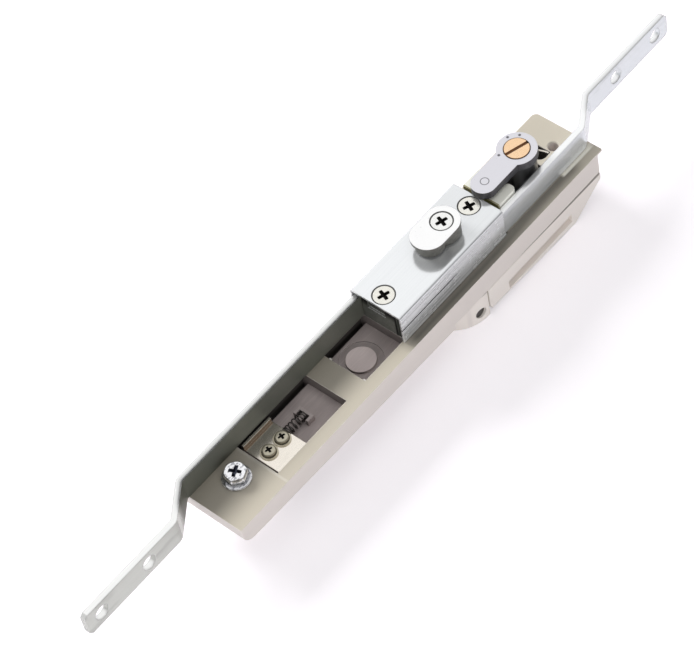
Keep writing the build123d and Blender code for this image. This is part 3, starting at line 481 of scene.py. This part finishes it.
base_lacquer = base_coat()
handle_lacquer = handle_coat()
print("made", base_lacquer.name, handle_lacquer.name)

# %% [markdown]
# ## Bright zinc plating
#
# The rods and the cover are rolled steel strip, cut and bent, then zinc plated.
# Rolling leaves fine lines along the strip, and plating makes soft clouds in the
# shine. Long thin noise gives the lines, and round noise varies the roughness. The
# strip's mill edge is rounded, which a Bevel node shows without changing the shape.

# %% Plated steel and cast zinc
def plated_steel(name, colour, lines, roughness=0.30, edge=0.25 * MM, dark=0.0, streak=0.14):
    """Metal with rolling lines of the given x, y and z sizes, clouds and, by dark, dull patches."""
    zinc = Finish(name)
    line = zinc.noise(lines, 3.0, 0.6)
    cloud = zinc.noise(6 * MM, 3.0)
    patch = zinc.noise((22 * MM, 5 * MM, 5 * MM), 3.0).ramp(0.50, 0.74)
    speck = zinc.noise(0.5 * MM, 2.0).ramp(0.66, 0.72)
    tone = zinc.tint(colour, 0.97 - streak / 2 + streak * line - 0.10 * speck - dark * patch)
    # Painted highlight: rounded edges are written near white.
    tone = zinc.mix(zinc.edges(edge) * 0.35, tone, srgb(250, 250, 250))
    return zinc, line, cloud, tone, roughness + 0.16 * (cloud - 0.5) + 0.10 * (line - 0.5), edge


def rod_coat(name, colour, rim, span, face_darkening):
    """A rod: calm long streaks, dull patches, and a painted highlight on its mill edge and top face.

    Over the span of x, in mm, painted shade darkens the top face by rim towards -Y, and
    the last argument darkens the upright faces to olive and makes them duller."""
    recipe = plated_steel(name, colour, (60 * MM, 0.9 * MM, 0.9 * MM), 0.20, 0.9 * MM, 0.20, 0.10)
    zinc, line, cloud, tone, roughness, edge = recipe
    level = zinc.axis("Z", zinc.facing).ramp(0.5, 0.8)
    values = {0: zinc.rounded(1.6 * MM), 1: (0.0, -1.0, 0.0)}
    lean = zinc.node("ShaderNodeVectorMath", {"operation": "DOT_PRODUCT"}, values, out="Value")
    within = zinc.between(zinc.axis("X"), span[0] * MM, span[1] * MM, 3 * MM)
    # Over the span the upright faces are darkened to olive and made duller.
    olive_faces = within * (1 - level) * face_darkening
    # Painted light: level top faces are written near white.
    tone = zinc.mix(olive_faces * 0.9, zinc.mix(level * 0.8, tone, srgb(252, 252, 252)), srgb(92, 94, 84))
    # Painted shade: over the span the top face darkens towards its -Y edge by rim.
    tone = zinc.tint(tone, 1.0 - rim * within * level * lean.ramp(-0.16, 0.34))
    return plated((zinc, line, cloud, tone, roughness + 0.22 * olive_faces, edge), 0.62 - 0.18 * olive_faces)


def plated(recipe, metallic=0.8):
    """Ends a plated finish with its bump and its shader; a passivated skin is a little less than metal."""
    zinc, line, cloud, tone, roughness, edge = recipe
    normal = zinc.relief(line, 0.002 * MM, zinc.rounded(edge))
    return zinc.surface(Base_Color=tone, Metallic=metallic, Roughness=roughness, Normal=normal)


def screw_seat(metal, tone, places, inner, outer, level):
    """Painted shade in the ring round each screw head, and in the cone under it."""
    depth = metal.axis("Z")
    for place in places:
        ring = metal.between(metal.away(*place), inner, outer, 0.08 * MM)
        # Painted shade: the gap round the screw head is written dark.
        seat_shade = 0.85 * ring * metal.between(depth, level - 2.5 * MM, level + 0.3 * MM)
        tone = metal.mix(seat_shade, tone, srgb(44, 42, 40))
    return tone


def cover_coat():
    """The cover: cloudy bright top, streaked sides partly with painted reflection, a scored line and the
    screws' rings in painted shade.
    """
    lines = (34 * MM, 0.45 * MM, 0.45 * MM)
    recipe = plated_steel("cover_zinc", srgb(240, 242, 244), lines, 0.16, 0.45 * MM)
    zinc, line, cloud, tone, roughness, edge = recipe
    x, y, z = (zinc.axis(letter) for letter in "XYZ")
    upright = 1 - abs(zinc.axis("Z", zinc.facing)).ramp(0.3, 0.8)
    # Streaks on the sides: partly rolling lines, partly painted reflection; the sides also darken towards the
    # bottom as a painted reflection of the base.
    streaks = zinc.noise((60 * MM, 1.1 * MM, 1.1 * MM), 3.0, 0.65).ramp(0.42, 0.62)
    streaks = 0.34 * streaks * (1 - x.ramp(-12 * MM, 14 * MM, 0.0, 0.7))
    low = z.ramp(0.5 * MM, 7.0 * MM, 1.0, 0.0)
    tone = zinc.tint(tone, 1.0 - upright * (streaks + 0.02 * low))
    # Painted shade: the scored line on the side is written near black on its left part.
    score_shade = zinc.between(z, 7.05 * MM, 7.72 * MM, 0.06 * MM)
    # Painted reflection: a dark line on the top where the bend begins.
    bend = zinc.between(abs(y), 11.80 * MM, 12.05 * MM, 0.08 * MM) * z.ramp(13.5 * MM, 14.0 * MM)
    tone = zinc.tint(tone, 1.0 - 0.4 * bend)
    tone = zinc.mix(score_shade * x.ramp(-14 * MM, -3.4 * MM, 0.95, 0.0), tone, srgb(20, 20, 22))
    # Painted shade: the top face darkens a little towards +X.
    tone = zinc.tint(tone, 1.0 - 0.08 * x.ramp(-12 * MM, 12 * MM) * (1 - upright))
    tone = screw_seat(zinc, tone, COVER_SEATS, *SEAT_RING, COVER_TOP)
    return plated((zinc, line, cloud, tone, roughness + 0.10 * upright, edge), 0.62)


def tumbled_zinc(name, colour, side, roughness=0.42, metallic=0.9, seats=(), level=0.0):
    """Cast zinc: bright on level faces; upright faces have a mottled skin and are painted darker as shade."""
    cast = Finish(name)
    grain = cast.noise(0.30 * MM, 3.0, 0.6)
    cloud = cast.noise(5 * MM, 2.0)
    mottle = cast.noise(1.6 * MM, 4.0, 0.7)
    pits = cast.noise(0.9 * MM, 1.0).ramp(0.72, 0.78)
    upright = cast.axis("Z", cast.facing).ramp(0.4, 0.9, 1.0, 0.0)
    # A mottled cast skin, painted darker as shade on upright faces.
    upright_shade_tone = cast.tint(side, 0.55 + 0.9 * mottle)
    ground_tone = cast.tint(colour, 0.97 + 0.04 * cloud + 0.03 * grain - 0.18 * pits)
    tone = cast.mix(upright, ground_tone, upright_shade_tone)
    # Painted highlight: edges of level faces are written near white.
    tone = cast.mix(cast.edges(0.35 * MM) * 0.9 * (1 - upright), tone, srgb(250, 250, 252))
    tone = screw_seat(cast, tone, seats, *SEAT_RING, level)
    return cast, grain - pits, tone, roughness + 0.12 * (cloud - 0.5) + 0.1 * upright, metallic


def cast_surface(recipe, extra=None):
    """Ends a cast finish; extra is one more height field in tenths of a millimetre."""
    cast, height, tone, roughness, metallic = recipe
    normal = cast.relief(height, 0.010 * MM, cast.rounded(0.3 * MM))
    if extra:
        normal = cast.relief(extra, 0.10 * MM, normal)
    return cast.surface(Base_Color=tone, Metallic=metallic, Roughness=roughness, Normal=normal)


SEAT_RING = (4.18 * MM, 4.68 * MM)
COVER_SEATS, CAM_SEAT = [(-35.1 * MM, 0.0), (15.2 * MM, 0.0)], [(0.0, 0.0)]
COVER_TOP, CAM_TOP = 15.0 * MM, 21.9 * MM
DIMPLES = [(46.9, 6.3), (38.2, 3.6), (50.3, 3.2)]
EJECTOR_RING = (25.4 * MM, 0.2 * MM)


def key_cam_coat():
    """The key cam: as the other cam, with three staking dimples and the ring of an ejector pin."""
    recipe = tumbled_zinc("key_cam_zinc", srgb(222, 221, 227), srgb(96, 95, 98))
    cast, height, tone, roughness, metallic = recipe
    top = cast.axis("Z").ramp(18.7 * MM, 18.85 * MM)
    dimples = (cast.away(x * MM, y * MM).ramp(0.35 * MM, 0.75 * MM, 1.0, 0.0) for x, y in DIMPLES)
    dents = sum(dimples, 0.0) * top
    ring = cast.between(cast.away(*EJECTOR_RING), 1.50 * MM, 1.80 * MM, 0.12 * MM) * top
    tone = cast.mix(dents * 0.9 + ring * 0.9, tone, srgb(84, 84, 88))
    return cast_surface((cast, height, tone, roughness, metallic), 1 - dents - ring * 0.4)


def slide_coat():
    """The slide's plate and the keeper: warm, with painted shade darker to the far side and brown where the
    edge bends down.
    """
    lines = (30 * MM, 1.5 * MM, 1.5 * MM)
    recipe = plated_steel("slide_zinc", srgb(243, 236, 225), lines, 0.18, 0.3 * MM, 0.06, 0.05)
    zinc, line, cloud, tone, roughness, edge = recipe
    y, z = zinc.axis("Y"), zinc.axis("Z")
    # Painted shade: the edge where it bends down is written brown.
    fold_shade = zinc.between(y, 6.2 * MM, 7.25 * MM, 0.3 * MM) * z.ramp(-0.6 * MM, -0.4 * MM, 1.0, 0.0)
    tone = zinc.mix(fold_shade * 0.7, tone, srgb(150, 122, 92))
    # Painted shade and reflection: the plate darkens towards +Y, beside the rod.
    tone = zinc.tint(tone, 1.0 - 0.36 * y.ramp(-4 * MM, 4 * MM))
    return plated((zinc, line, cloud, tone, roughness, edge), 0.9)


def gearbox_coat():
    """The gearbox body: bare casting, with black painted shade towards its free slot and under the cover's
    edge.
    """
    recipe = tumbled_zinc("raw_zinc", srgb(150, 150, 146), srgb(122, 124, 118), 0.50, 0.6)
    cast, height, tone, roughness, metallic = recipe
    # Painted shade: the end face is written black towards the free slot and under the cover's edge.
    end = cast.axis("X", cast.facing).ramp(-0.8, -0.4, 1.0, 0.0)
    slot_shade = cast.axis("Y").ramp(-7.6 * MM, -7.2 * MM, 1.0, 0.0)
    shade = cast.axis("Z").ramp(6.5 * MM, 10.5 * MM) * 0.97
    tone = cast.mix(end * slot_shade.math("MAXIMUM", slot_shade, shade), tone, srgb(16, 15, 14))
    return cast_surface((cast, height, tone, roughness, metallic))


# Painted shade: both rods are the same plated steel, and the lower one is written darker.
lower_rod_zinc = rod_coat("lower_rod_zinc", srgb(204, 206, 200), 0.95, (-148, 40), 1.0)
upper_rod_zinc = rod_coat("upper_rod_zinc", srgb(236, 240, 244), 0.5, (78, 200), 0.0)
slide_zinc = slide_coat()
cover_zinc = cover_coat()
cam_recipe = tumbled_zinc("cam_zinc", srgb(250, 250, 250), srgb(120, 119, 114), 0.36, 0.9, CAM_SEAT, CAM_TOP)
cam_zinc = cast_surface(cam_recipe)
key_cam_zinc = key_cam_coat()
raw_zinc = gearbox_coat()
cut_steel = plated(plated_steel("cut_steel", srgb(176, 176, 178), (0.4 * MM, 0.4 * MM, 6 * MM), 0.34))
print("made", lower_rod_zinc.name, cover_zinc.name, cam_zinc.name)

# %% [markdown]
# ## Turned metals, rubber and plastic
#
# Screw heads, the brass screw and the barrel are turned on a lathe, which leaves
# rings round the axis. The distance from the axis, run through a sine, gives them.

# %% Turned and small finishes
def turned_metal(name, colour, centre, pitch, roughness=0.25, edge=0.15 * MM, blot=0.10):
    """Metal with lathe rings: a sine of the distance from a vertical axis at centre."""
    lathe = Finish(name)
    radius = lathe.away(*centre)
    rings = radius.math("SINE", radius * (2 * math.pi / pitch)) * 0.5 + 0.5
    cloud = lathe.noise(1.6 * MM, 3.0)
    tone = lathe.tint(colour, 0.95 - blot / 2 + blot * cloud + 0.05 * rings)
    # Painted highlight: edges are written near white.
    tone = lathe.mix(lathe.edges(edge) * 0.4, tone, srgb(252, 250, 244))
    normal = lathe.relief(rings, 0.003 * MM, lathe.rounded(edge))
    return lathe, tone, roughness + 0.12 * (cloud - 0.5), normal


def turned(recipe, dark=None, recess_shade=(38, 36, 34)):
    """Ends a turned finish; dark is 1 where shade is painted into a recess."""
    lathe, tone, roughness, normal = recipe
    if dark:
        # Painted shade: the recess is written dark.
        tone, roughness = lathe.mix(dark, tone, srgb(*recess_shade)), roughness + 0.3 * dark
    return lathe.surface(Base_Color=tone, Metallic=0.88, Roughness=roughness, Normal=normal)


def headed(name, colour, centres, level, reach, roughness=0.25, recess_shade=(38, 36, 34)):
    """A screw's finish: turned metal with painted shade in its cross, which reaches this far and starts at
    level.
    """
    recipe = turned_metal(name, colour, centres[0], 0.5 * MM, roughness)
    metal = recipe[0]
    # Painted shade in the cross recess.
    discs = (metal.away(*place).ramp(reach, reach + 0.2 * MM, 1.0, 0.0) for place in centres)
    sunk = metal.axis("Z").ramp(level - 0.30 * MM, level - 0.12 * MM, 1.0, 0.0)
    return turned(recipe, sum(discs, 0.0) * sunk, recess_shade)


def wavy_chrome():
    """The flange screw: bright plating with painted dark reflections in ripples and round the hexagon's ends,
    and painted shade in the cross.
    """
    recipe = turned_metal("chrome", srgb(244, 244, 247), FLANGE_SCREW, 0.5 * MM, 0.12)
    metal, tone = recipe[0], recipe[1]
    radius, height = metal.away(*FLANGE_SCREW), metal.axis("Z")
    # Painted reflections: dark ripples, and dark bands low on the flange and at the hexagon's top corner.
    ripple_reflection = metal.noise((1.5 * MM, 1.1 * MM, 0.9 * MM), 2.0, 0.5).ramp(0.50, 0.60)
    foot_reflection = metal.between(height, 1.05 * MM, 1.75 * MM, 0.25 * MM)
    corner = metal.between(height, 3.95 * MM, 4.35 * MM, 0.2 * MM)
    tone = metal.mix(ripple_reflection * 0.62, tone, srgb(96, 98, 108))
    tone = metal.mix((foot_reflection + corner) * 0.75, tone, srgb(60, 60, 68))
    # Painted shade in the cross recess.
    cross_shade = radius.ramp(2.6 * MM, 2.8 * MM, 1.0, 0.0) * height.ramp(4.40 * MM, 4.58 * MM, 1.0, 0.0)
    return turned((metal, tone, *recipe[2:]), cross_shade, (70, 73, 86))


def ringed_washer():
    """The washers: dull plating with painted shade round each screw head and a painted highlight on the outer
    edge.
    """
    recipe = turned_metal("washer_zinc", srgb(196, 188, 168), SLIDE_SEATS[0], 0.5 * MM, 0.34)
    metal = recipe[0]
    # Painted shade: a dark ring round each screw head.
    rings = (metal.between(metal.away(*seat), 2.55 * MM, 2.95 * MM, 0.12 * MM) for seat in SLIDE_SEATS)
    return turned(recipe, sum(rings, 0.0) * 0.9, (44, 40, 34))


def slotted_brass():
    """The brass screw: coppery, worn, with painted shade in its slot and in a ring at its edge."""
    recipe = turned_metal("copper_brass", srgb(248, 212, 172), KEY_AXIS, 0.35 * MM, 0.28, 0.15 * MM, 0.20)
    lathe = recipe[0]
    x, y = lathe.axis("X") - KEY_AXIS[0], lathe.axis("Y") - KEY_AXIS[1]
    # Painted shade in the slot and in the ring round the head's edge.
    slot = abs(y * math.cos(SLOT_TURN) - x * math.sin(SLOT_TURN)).ramp(0.55 * MM, 0.70 * MM, 1.0, 0.0)
    rim = lathe.away(*KEY_AXIS).ramp(4.80 * MM, 5.0 * MM)
    return turned(recipe, slot.math("MAXIMUM", slot, rim) * 0.9, (104, 66, 34))


def soft_plastic(name, colour, roughness):
    """Moulded plastic or rubber: dark, with a fine grain and a slightly uneven shine."""
    moulded = Finish(name)
    grain = moulded.noise(0.25 * MM, 2.0)
    cloud = moulded.noise(4 * MM, 2.0)
    return moulded.surface(
        Base_Color=moulded.tint(colour, 0.85 + 0.3 * cloud),
        Roughness=roughness + 0.1 * (cloud - 0.5),
        Normal=moulded.relief(grain, 0.01 * MM, moulded.rounded(0.3 * MM)),
    )


KEY_AXIS, FLANGE_SCREW = (44.55 * MM, 0.0), (-121.5 * MM, 0.0)
SLIDE_SEATS = [(-105.4 * MM, -1.25 * MM), (-98.2 * MM, -1.25 * MM)]
SLOT_TURN = math.radians(-18.0)
cover_nickel = headed("cover_nickel", srgb(238, 236, 228), COVER_SEATS, COVER_TOP, 2.9 * MM)
cam_nickel = headed("cam_nickel", srgb(244, 244, 242), CAM_SEAT, CAM_TOP, 2.9 * MM)
chrome = wavy_chrome()
aged_zinc = headed("aged_zinc", srgb(186, 180, 162), SLIDE_SEATS, -0.05 * MM, 1.7 * MM, 0.30)
washer_zinc = ringed_washer()
pin_steel = turned(turned_metal("pin_steel", srgb(92, 90, 88), (0, 0), 0.5 * MM, 0.34))
copper_brass = slotted_brass()
barrel_chrome = turned(turned_metal("barrel_chrome", srgb(120, 120, 122), KEY_AXIS, 0.4 * MM, 0.34))
plug_brass = turned(turned_metal("plug_brass", srgb(204, 184, 130), KEY_AXIS, 0.4 * MM, 0.30))
bronze = turned(turned_metal("bronze", srgb(170, 140, 96), (0, 0), 0.5 * MM, 0.45))
spring_steel = turned(turned_metal("spring_steel", srgb(84, 80, 78), (0, 0), 0.5 * MM, 0.32, 0.05 * MM))
seal_rubber = soft_plastic("seal_rubber", srgb(40, 40, 42), 0.6)
button_plastic = soft_plastic("button_plastic", srgb(58, 58, 60), 0.45)
print("materials:", len(bpy.data.materials))

# %% Finishes onto the CAD nodes
FINISH_OF = {
    base_lacquer: ("housing",),
    handle_lacquer: ("swivel_head", "lever_handle"),
    lower_rod_zinc: ("lower_rod", "lower_rack_rivets"),
    upper_rod_zinc: ("upper_rod", "upper_rack_rivets"),
    slide_zinc: ("slide_plate", "cylinder_keeper"),
    cover_zinc: ("gearbox_cover",),
    cam_zinc: ("centre_cam", "cam_collar"),
    key_cam_zinc: ("key_cam",),
    raw_zinc: ("gearbox_body",),
    cut_steel: ("pinion", "spindle", "lower_rack", "upper_rack"),
    cover_nickel: ("cover_screws",),
    cam_nickel: ("centre_cam_screw",),
    pin_steel: ("handle_pin",),
    chrome: ("mounting_screw",),
    aged_zinc: ("slide_screws",),
    washer_zinc: ("slide_washers",),
    copper_brass: ("brass_screw",),
    barrel_chrome: ("lock_cylinder",),
    plug_brass: ("lock_plug",),
    bronze: ("spindle_bush",),
    spring_steel: ("cylinder_clip", "slide_spring"),
    seal_rubber: ("spindle_seal",),
    button_plastic: ("release_button", "spring_follower"),
}
for material, node_names in FINISH_OF.items():
    for node_name in node_names:
        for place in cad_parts[node_name].material_slots:
            place.material = material
left_bare = set(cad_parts) - {n for names in FINISH_OF.values() for n in names}
print("nodes without a finish:", sorted(left_bare))

# %% [markdown]
# ## The return spring
#
# A compression spring is one wire wound on a mandrel, with its end turns closed up
# so that it stands square. Its centre line is a helix whose pitch shrinks near the
# ends, and the wire's round section is carried along it. Winding it as an array of
# rings keeps the section round everywhere, which a swept curve would not promise.

# %% Spring
def skin(name, groups, material):
    """A closed mesh from groups of rings.

    Each group is an array (rings, points, 3). Neighbouring rings are joined by quads,
    and each end is closed by a fan to the middle of its ring. Faces are turned round
    where the enclosed volume, the sum of a . (b x c) / 6, comes out negative."""
    all_points, all_faces, count = [], [], 0
    for rings in groups:
        n, m = rings.shape[:2]
        points = np.vstack([rings.reshape(-1, 3), rings[0].mean(0), rings[-1].mean(0)])
        i, j = np.meshgrid(np.arange(n - 1), np.arange(m), indexing="ij")
        k = (j + 1) % m
        quads = np.stack([i * m + j, i * m + k, (i + 1) * m + k, (i + 1) * m + j], -1).reshape(-1, 4)
        a, b = np.arange(m), (np.arange(m) + 1) % m
        first = np.stack([np.full(m, n * m), b, a], -1)
        last = np.stack([np.full(m, n * m + 1), (n - 1) * m + a, (n - 1) * m + b], -1)
        triangles = np.vstack([first, last, quads[:, :3], quads[:, [0, 2, 3]]])
        corner = points[triangles]
        volume = np.einsum("ij,ij->i", corner[:, 0], np.cross(corner[:, 1], corner[:, 2])).sum() / 6
        faces = [*quads.tolist(), *first.tolist(), *last.tolist()]
        if volume < 0:
            faces = [face[::-1] for face in faces]
        all_faces += [[corner + count for corner in face] for face in faces]
        all_points.append(points)
        count += len(points)
    mesh = bpy.data.meshes.new(name)
    mesh.from_pydata(np.vstack(all_points).tolist(), [], all_faces)
    mesh.polygons.foreach_set("use_smooth", np.ones(len(all_faces), bool))
    mesh.materials.append(material)
    made = bpy.data.objects.new(name, mesh)
    bpy.context.scene.collection.objects.link(made)
    print(name, "faces:", len(all_faces))
    return made


def stand_in(piece, body, node):
    """The piece rides on a body and stands for a CAD node, which is hidden."""
    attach(piece, body)
    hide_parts(node)


def coil(start, end, radius, wire, turns, per_turn=40, around=12):
    """Rings of a wire's section along a helix about the x axis through y, z of start.

    At share s of the way round, the advance is s - sin(2 pi s) / (2 pi) * 0.55, which
    closes the end turns. A ring is the centre point plus wire / 2 times
    (cos a * outward + sin a * across), where across is square to wire and outward."""
    s = np.linspace(0, 1, int(turns * per_turn) + 1)
    angle = 2 * np.pi * turns * s
    length = end[0] - start[0] - wire
    x = start[0] + wire / 2 + length * (s - 0.55 * np.sin(2 * np.pi * s) / (2 * np.pi))
    outward = np.stack([0 * s, np.cos(angle), np.sin(angle)], -1)
    line = np.array([0, start[1], start[2]]) + outward * radius
    line[:, 0] = x
    along = np.gradient(line, axis=0)
    along /= np.linalg.norm(along, axis=1)[:, None]
    across = np.cross(along, outward)
    a = np.linspace(0, 2 * np.pi, around, endpoint=False)[None, :, None]
    return line[:, None] + wire / 2 * (np.cos(a) * outward[:, None] + np.sin(a) * across[:, None])


SPRING_LOW, SPRING_HIGH = (np.array(corner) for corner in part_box("slide_spring"))
SPRING_WIRE, SPRING_TURNS = 0.55 * MM, 8
SPRING_RADIUS = (SPRING_HIGH[2] - SPRING_LOW[2] - SPRING_WIRE) / 2
SPRING_START = np.array((SPRING_LOW[0], *(SPRING_LOW + SPRING_HIGH)[1:] / 2))
SPRING_END = np.array((SPRING_HIGH[0], *SPRING_START[1:]))
spring_rings = coil(SPRING_START, SPRING_END, SPRING_RADIUS, SPRING_WIRE, SPRING_TURNS)
wound_spring = skin("wound_spring", [spring_rings], spring_steel)
stand_in(wound_spring, "base", "slide_spring")
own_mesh(wound_spring)

# %% [markdown]
# ## Screws
#
# A cross-recess driver leaves four wings that get shallower outwards and have
# sloped walls, so the recess is drawn as a height field on the head: each wing is
# a product of two ramps, one along it and one across it. The head itself is a
# turned profile, a list of radii and heights, and the shank carries thread ridges.

# %% Screws
AROUND = 144


def ramp_down(value, low, high):
    """1 below low, 0 above high, and a straight line between."""
    return np.clip((high - value) / (high - low), 0, 1)


def cross_depth(x, y, reach, width, depth, turn):
    """How deep a cross recess is at x, y: depth * max(wing(u, v), wing(v, u)).

    u, v are x, y turned by -turn, and wing(u, v) falls along |u| from 0.35 reach to
    reach and across |v| from 0.25 width to 0.5 width."""
    c, s = math.cos(turn), math.sin(turn)
    u, v = abs(c * x + s * y), abs(c * y - s * x)
    wings = [
        ramp_down(a, 0.35 * reach, reach) ** 0.6 * ramp_down(b, 0.25 * width, 0.5 * width)
        for a, b in ((u, v), (v, u))
    ]
    return depth * np.maximum(*wings)


def turned_rings(profile, hexagon=None):
    """Rings of (r cos a, r sin a, z) for each (r, z, hexness) of a profile.

    hexagon is (flat_half, turn): the flat sides lie at flat_half / cos(a - middle of
    the side), and hexness blends from the circle to the smaller of it and that."""
    a = np.linspace(0, 2 * np.pi, AROUND, endpoint=False)
    flat = np.full(AROUND, np.inf)
    if hexagon:
        flat = hexagon[0] / np.cos((a - hexagon[1]) % (np.pi / 3) - np.pi / 6)
    r, z, hexness = (np.repeat(column[:, None], AROUND, 1) for column in np.array(profile, float).T)
    radii = np.where(hexness > 0, r + hexness * (np.minimum(r, flat) - r), r)
    return np.stack([radii * np.cos(a), radii * np.sin(a), z], -1)


def thread(radius, top, bottom, pitch=0.8 * MM):
    """Profile of a threaded shank from bottom to top: a crest and a root to each pitch."""
    count = int((top - bottom) / pitch)
    levels = bottom + pitch * np.arange(count)
    return [(radius * k, z + shift, 0) for z in levels for k, shift in ((0.87, 0), (1.0, pitch / 2))]


def screw_rings(centre, profile, head, cross, hexagon=None, dome=0.0, steps=34):
    """Rings of one screw: shank and head from the profile, then its face, with the cross cut in.

    head is (radius, top). Across the face the height is top + dome * (1 - (r / radius)^2)
    less the depth of the cross."""
    radius, top = head
    face = [(radius * (1 - i / steps), top + dome * (1 - (1 - i / steps) ** 2), 0) for i in range(1, steps)]
    rings = turned_rings([*profile, (radius, top, 0), *face], hexagon)
    count = len(profile)
    rings[count:, :, 2] -= cross_depth(rings[count:, :, 0], rings[count:, :, 1], *cross)
    return rings + np.array([centre[0], centre[1], 0])


def countersunk(centre, top, length, turn):
    """An M5 countersunk screw whose face lies 0.08 mm below top, the level of its seat's edge."""
    shank = thread(2.4 * MM, top - 2.6 * MM, top - length)
    head = [(2.4, 2.35), (4.10, 0.60), (4.22, 0.34), (4.15, 0.16)]
    profile = [*shank, *((r * MM, top - down * MM, 0) for r, down in head)]
    cross = (2.55 * MM, 1.5 * MM, 1.6 * MM, turn)
    return screw_rings(centre, profile, (4.02 * MM, top - 0.08 * MM), cross)


def pan_head(centre, top, turn):
    """An M3 pan head screw: a rounded edge, a slightly domed face and a small cross."""
    shank = thread(1.4 * MM, top - 1.9 * MM, top - 4.9 * MM, 0.5 * MM)
    bend = np.linspace(0, np.pi / 2, 7)
    edge = [(1.95 * MM + 0.75 * MM * math.cos(b), top - 0.85 * MM + 0.70 * MM * math.sin(b), 0) for b in bend]
    profile = [*shank, (1.4 * MM, top - 1.7 * MM, 0), (2.7 * MM, top - 1.7 * MM, 0), *edge]
    cross = (1.5 * MM, 0.95 * MM, 1.0 * MM, turn)
    return screw_rings(centre, profile, (1.9 * MM, top - 0.15 * MM), cross, dome=0.1 * MM, steps=24)


def flange_screw(centre, turn, hex_turn):
    """The mounting screw: coned flange with a rounded rim, hexagon with a chamfered top, cross."""
    shank = thread(2.0 * MM, -0.2 * MM, -7.8 * MM)
    flange = [(2.0, 0.0), (5.7, 0.0), (5.88, 0.25), (5.85, 0.60), (5.5, 0.95), (4.9, 1.22), (4.62, 1.30)]
    flats = [(4.62, 1.34), (4.62, 4.25), (4.25, 4.55), (3.95, 4.66)]
    profile = [*shank, *((r * MM, z * MM, 0) for r, z in flange)]
    profile += [*((r * MM, z * MM, 1) for r, z in flats), (3.7 * MM, 4.70 * MM, 0)]
    hexagon = (4.0 * MM, math.radians(hex_turn))
    cross = (2.5 * MM, 1.5 * MM, 1.7 * MM, turn)
    return screw_rings(centre, profile, (3.55 * MM, 4.62 * MM), cross, hexagon, 0.06 * MM)


DEGREE = math.pi / 180
COVER_BOX_TOP, CAM_BOX_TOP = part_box("gearbox_cover")[1].z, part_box("centre_cam")[1].z
SLIDE_BOX_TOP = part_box("slide_screws")[1].z
cover_pair = [
    countersunk(seat, COVER_BOX_TOP, 20.9 * MM, turn * DEGREE)
    for seat, turn in zip(COVER_SEATS, (-18, -23))
]
cam_single = [countersunk(CAM_SEAT[0], CAM_BOX_TOP, 11.9 * MM, -18 * DEGREE)]
slide_pair = [pan_head(seat, SLIDE_BOX_TOP, -17 * DEGREE) for seat in SLIDE_SEATS]
left_screw = [flange_screw(FLANGE_SCREW, 26 * DEGREE, 22.0)]
SCREW_PIECES = [
    ("cover_screw_pair", cover_pair, cover_nickel, "base", "cover_screws", "screw_steel"),
    ("cam_screw_cross", cam_single, cam_nickel, "turning_head", "centre_cam_screw", "screw_steel"),
    ("slide_screw_pair", slide_pair, aged_zinc, "release_slide", "slide_screws", "small_screw_steel"),
    ("flange_screw_head", left_screw, chrome, "base", "mounting_screw", "screw_steel"),
]
for piece_name, groups, finish, body, node, slot in SCREW_PIECES:
    stand_in(skin(piece_name, groups, finish), body, node)
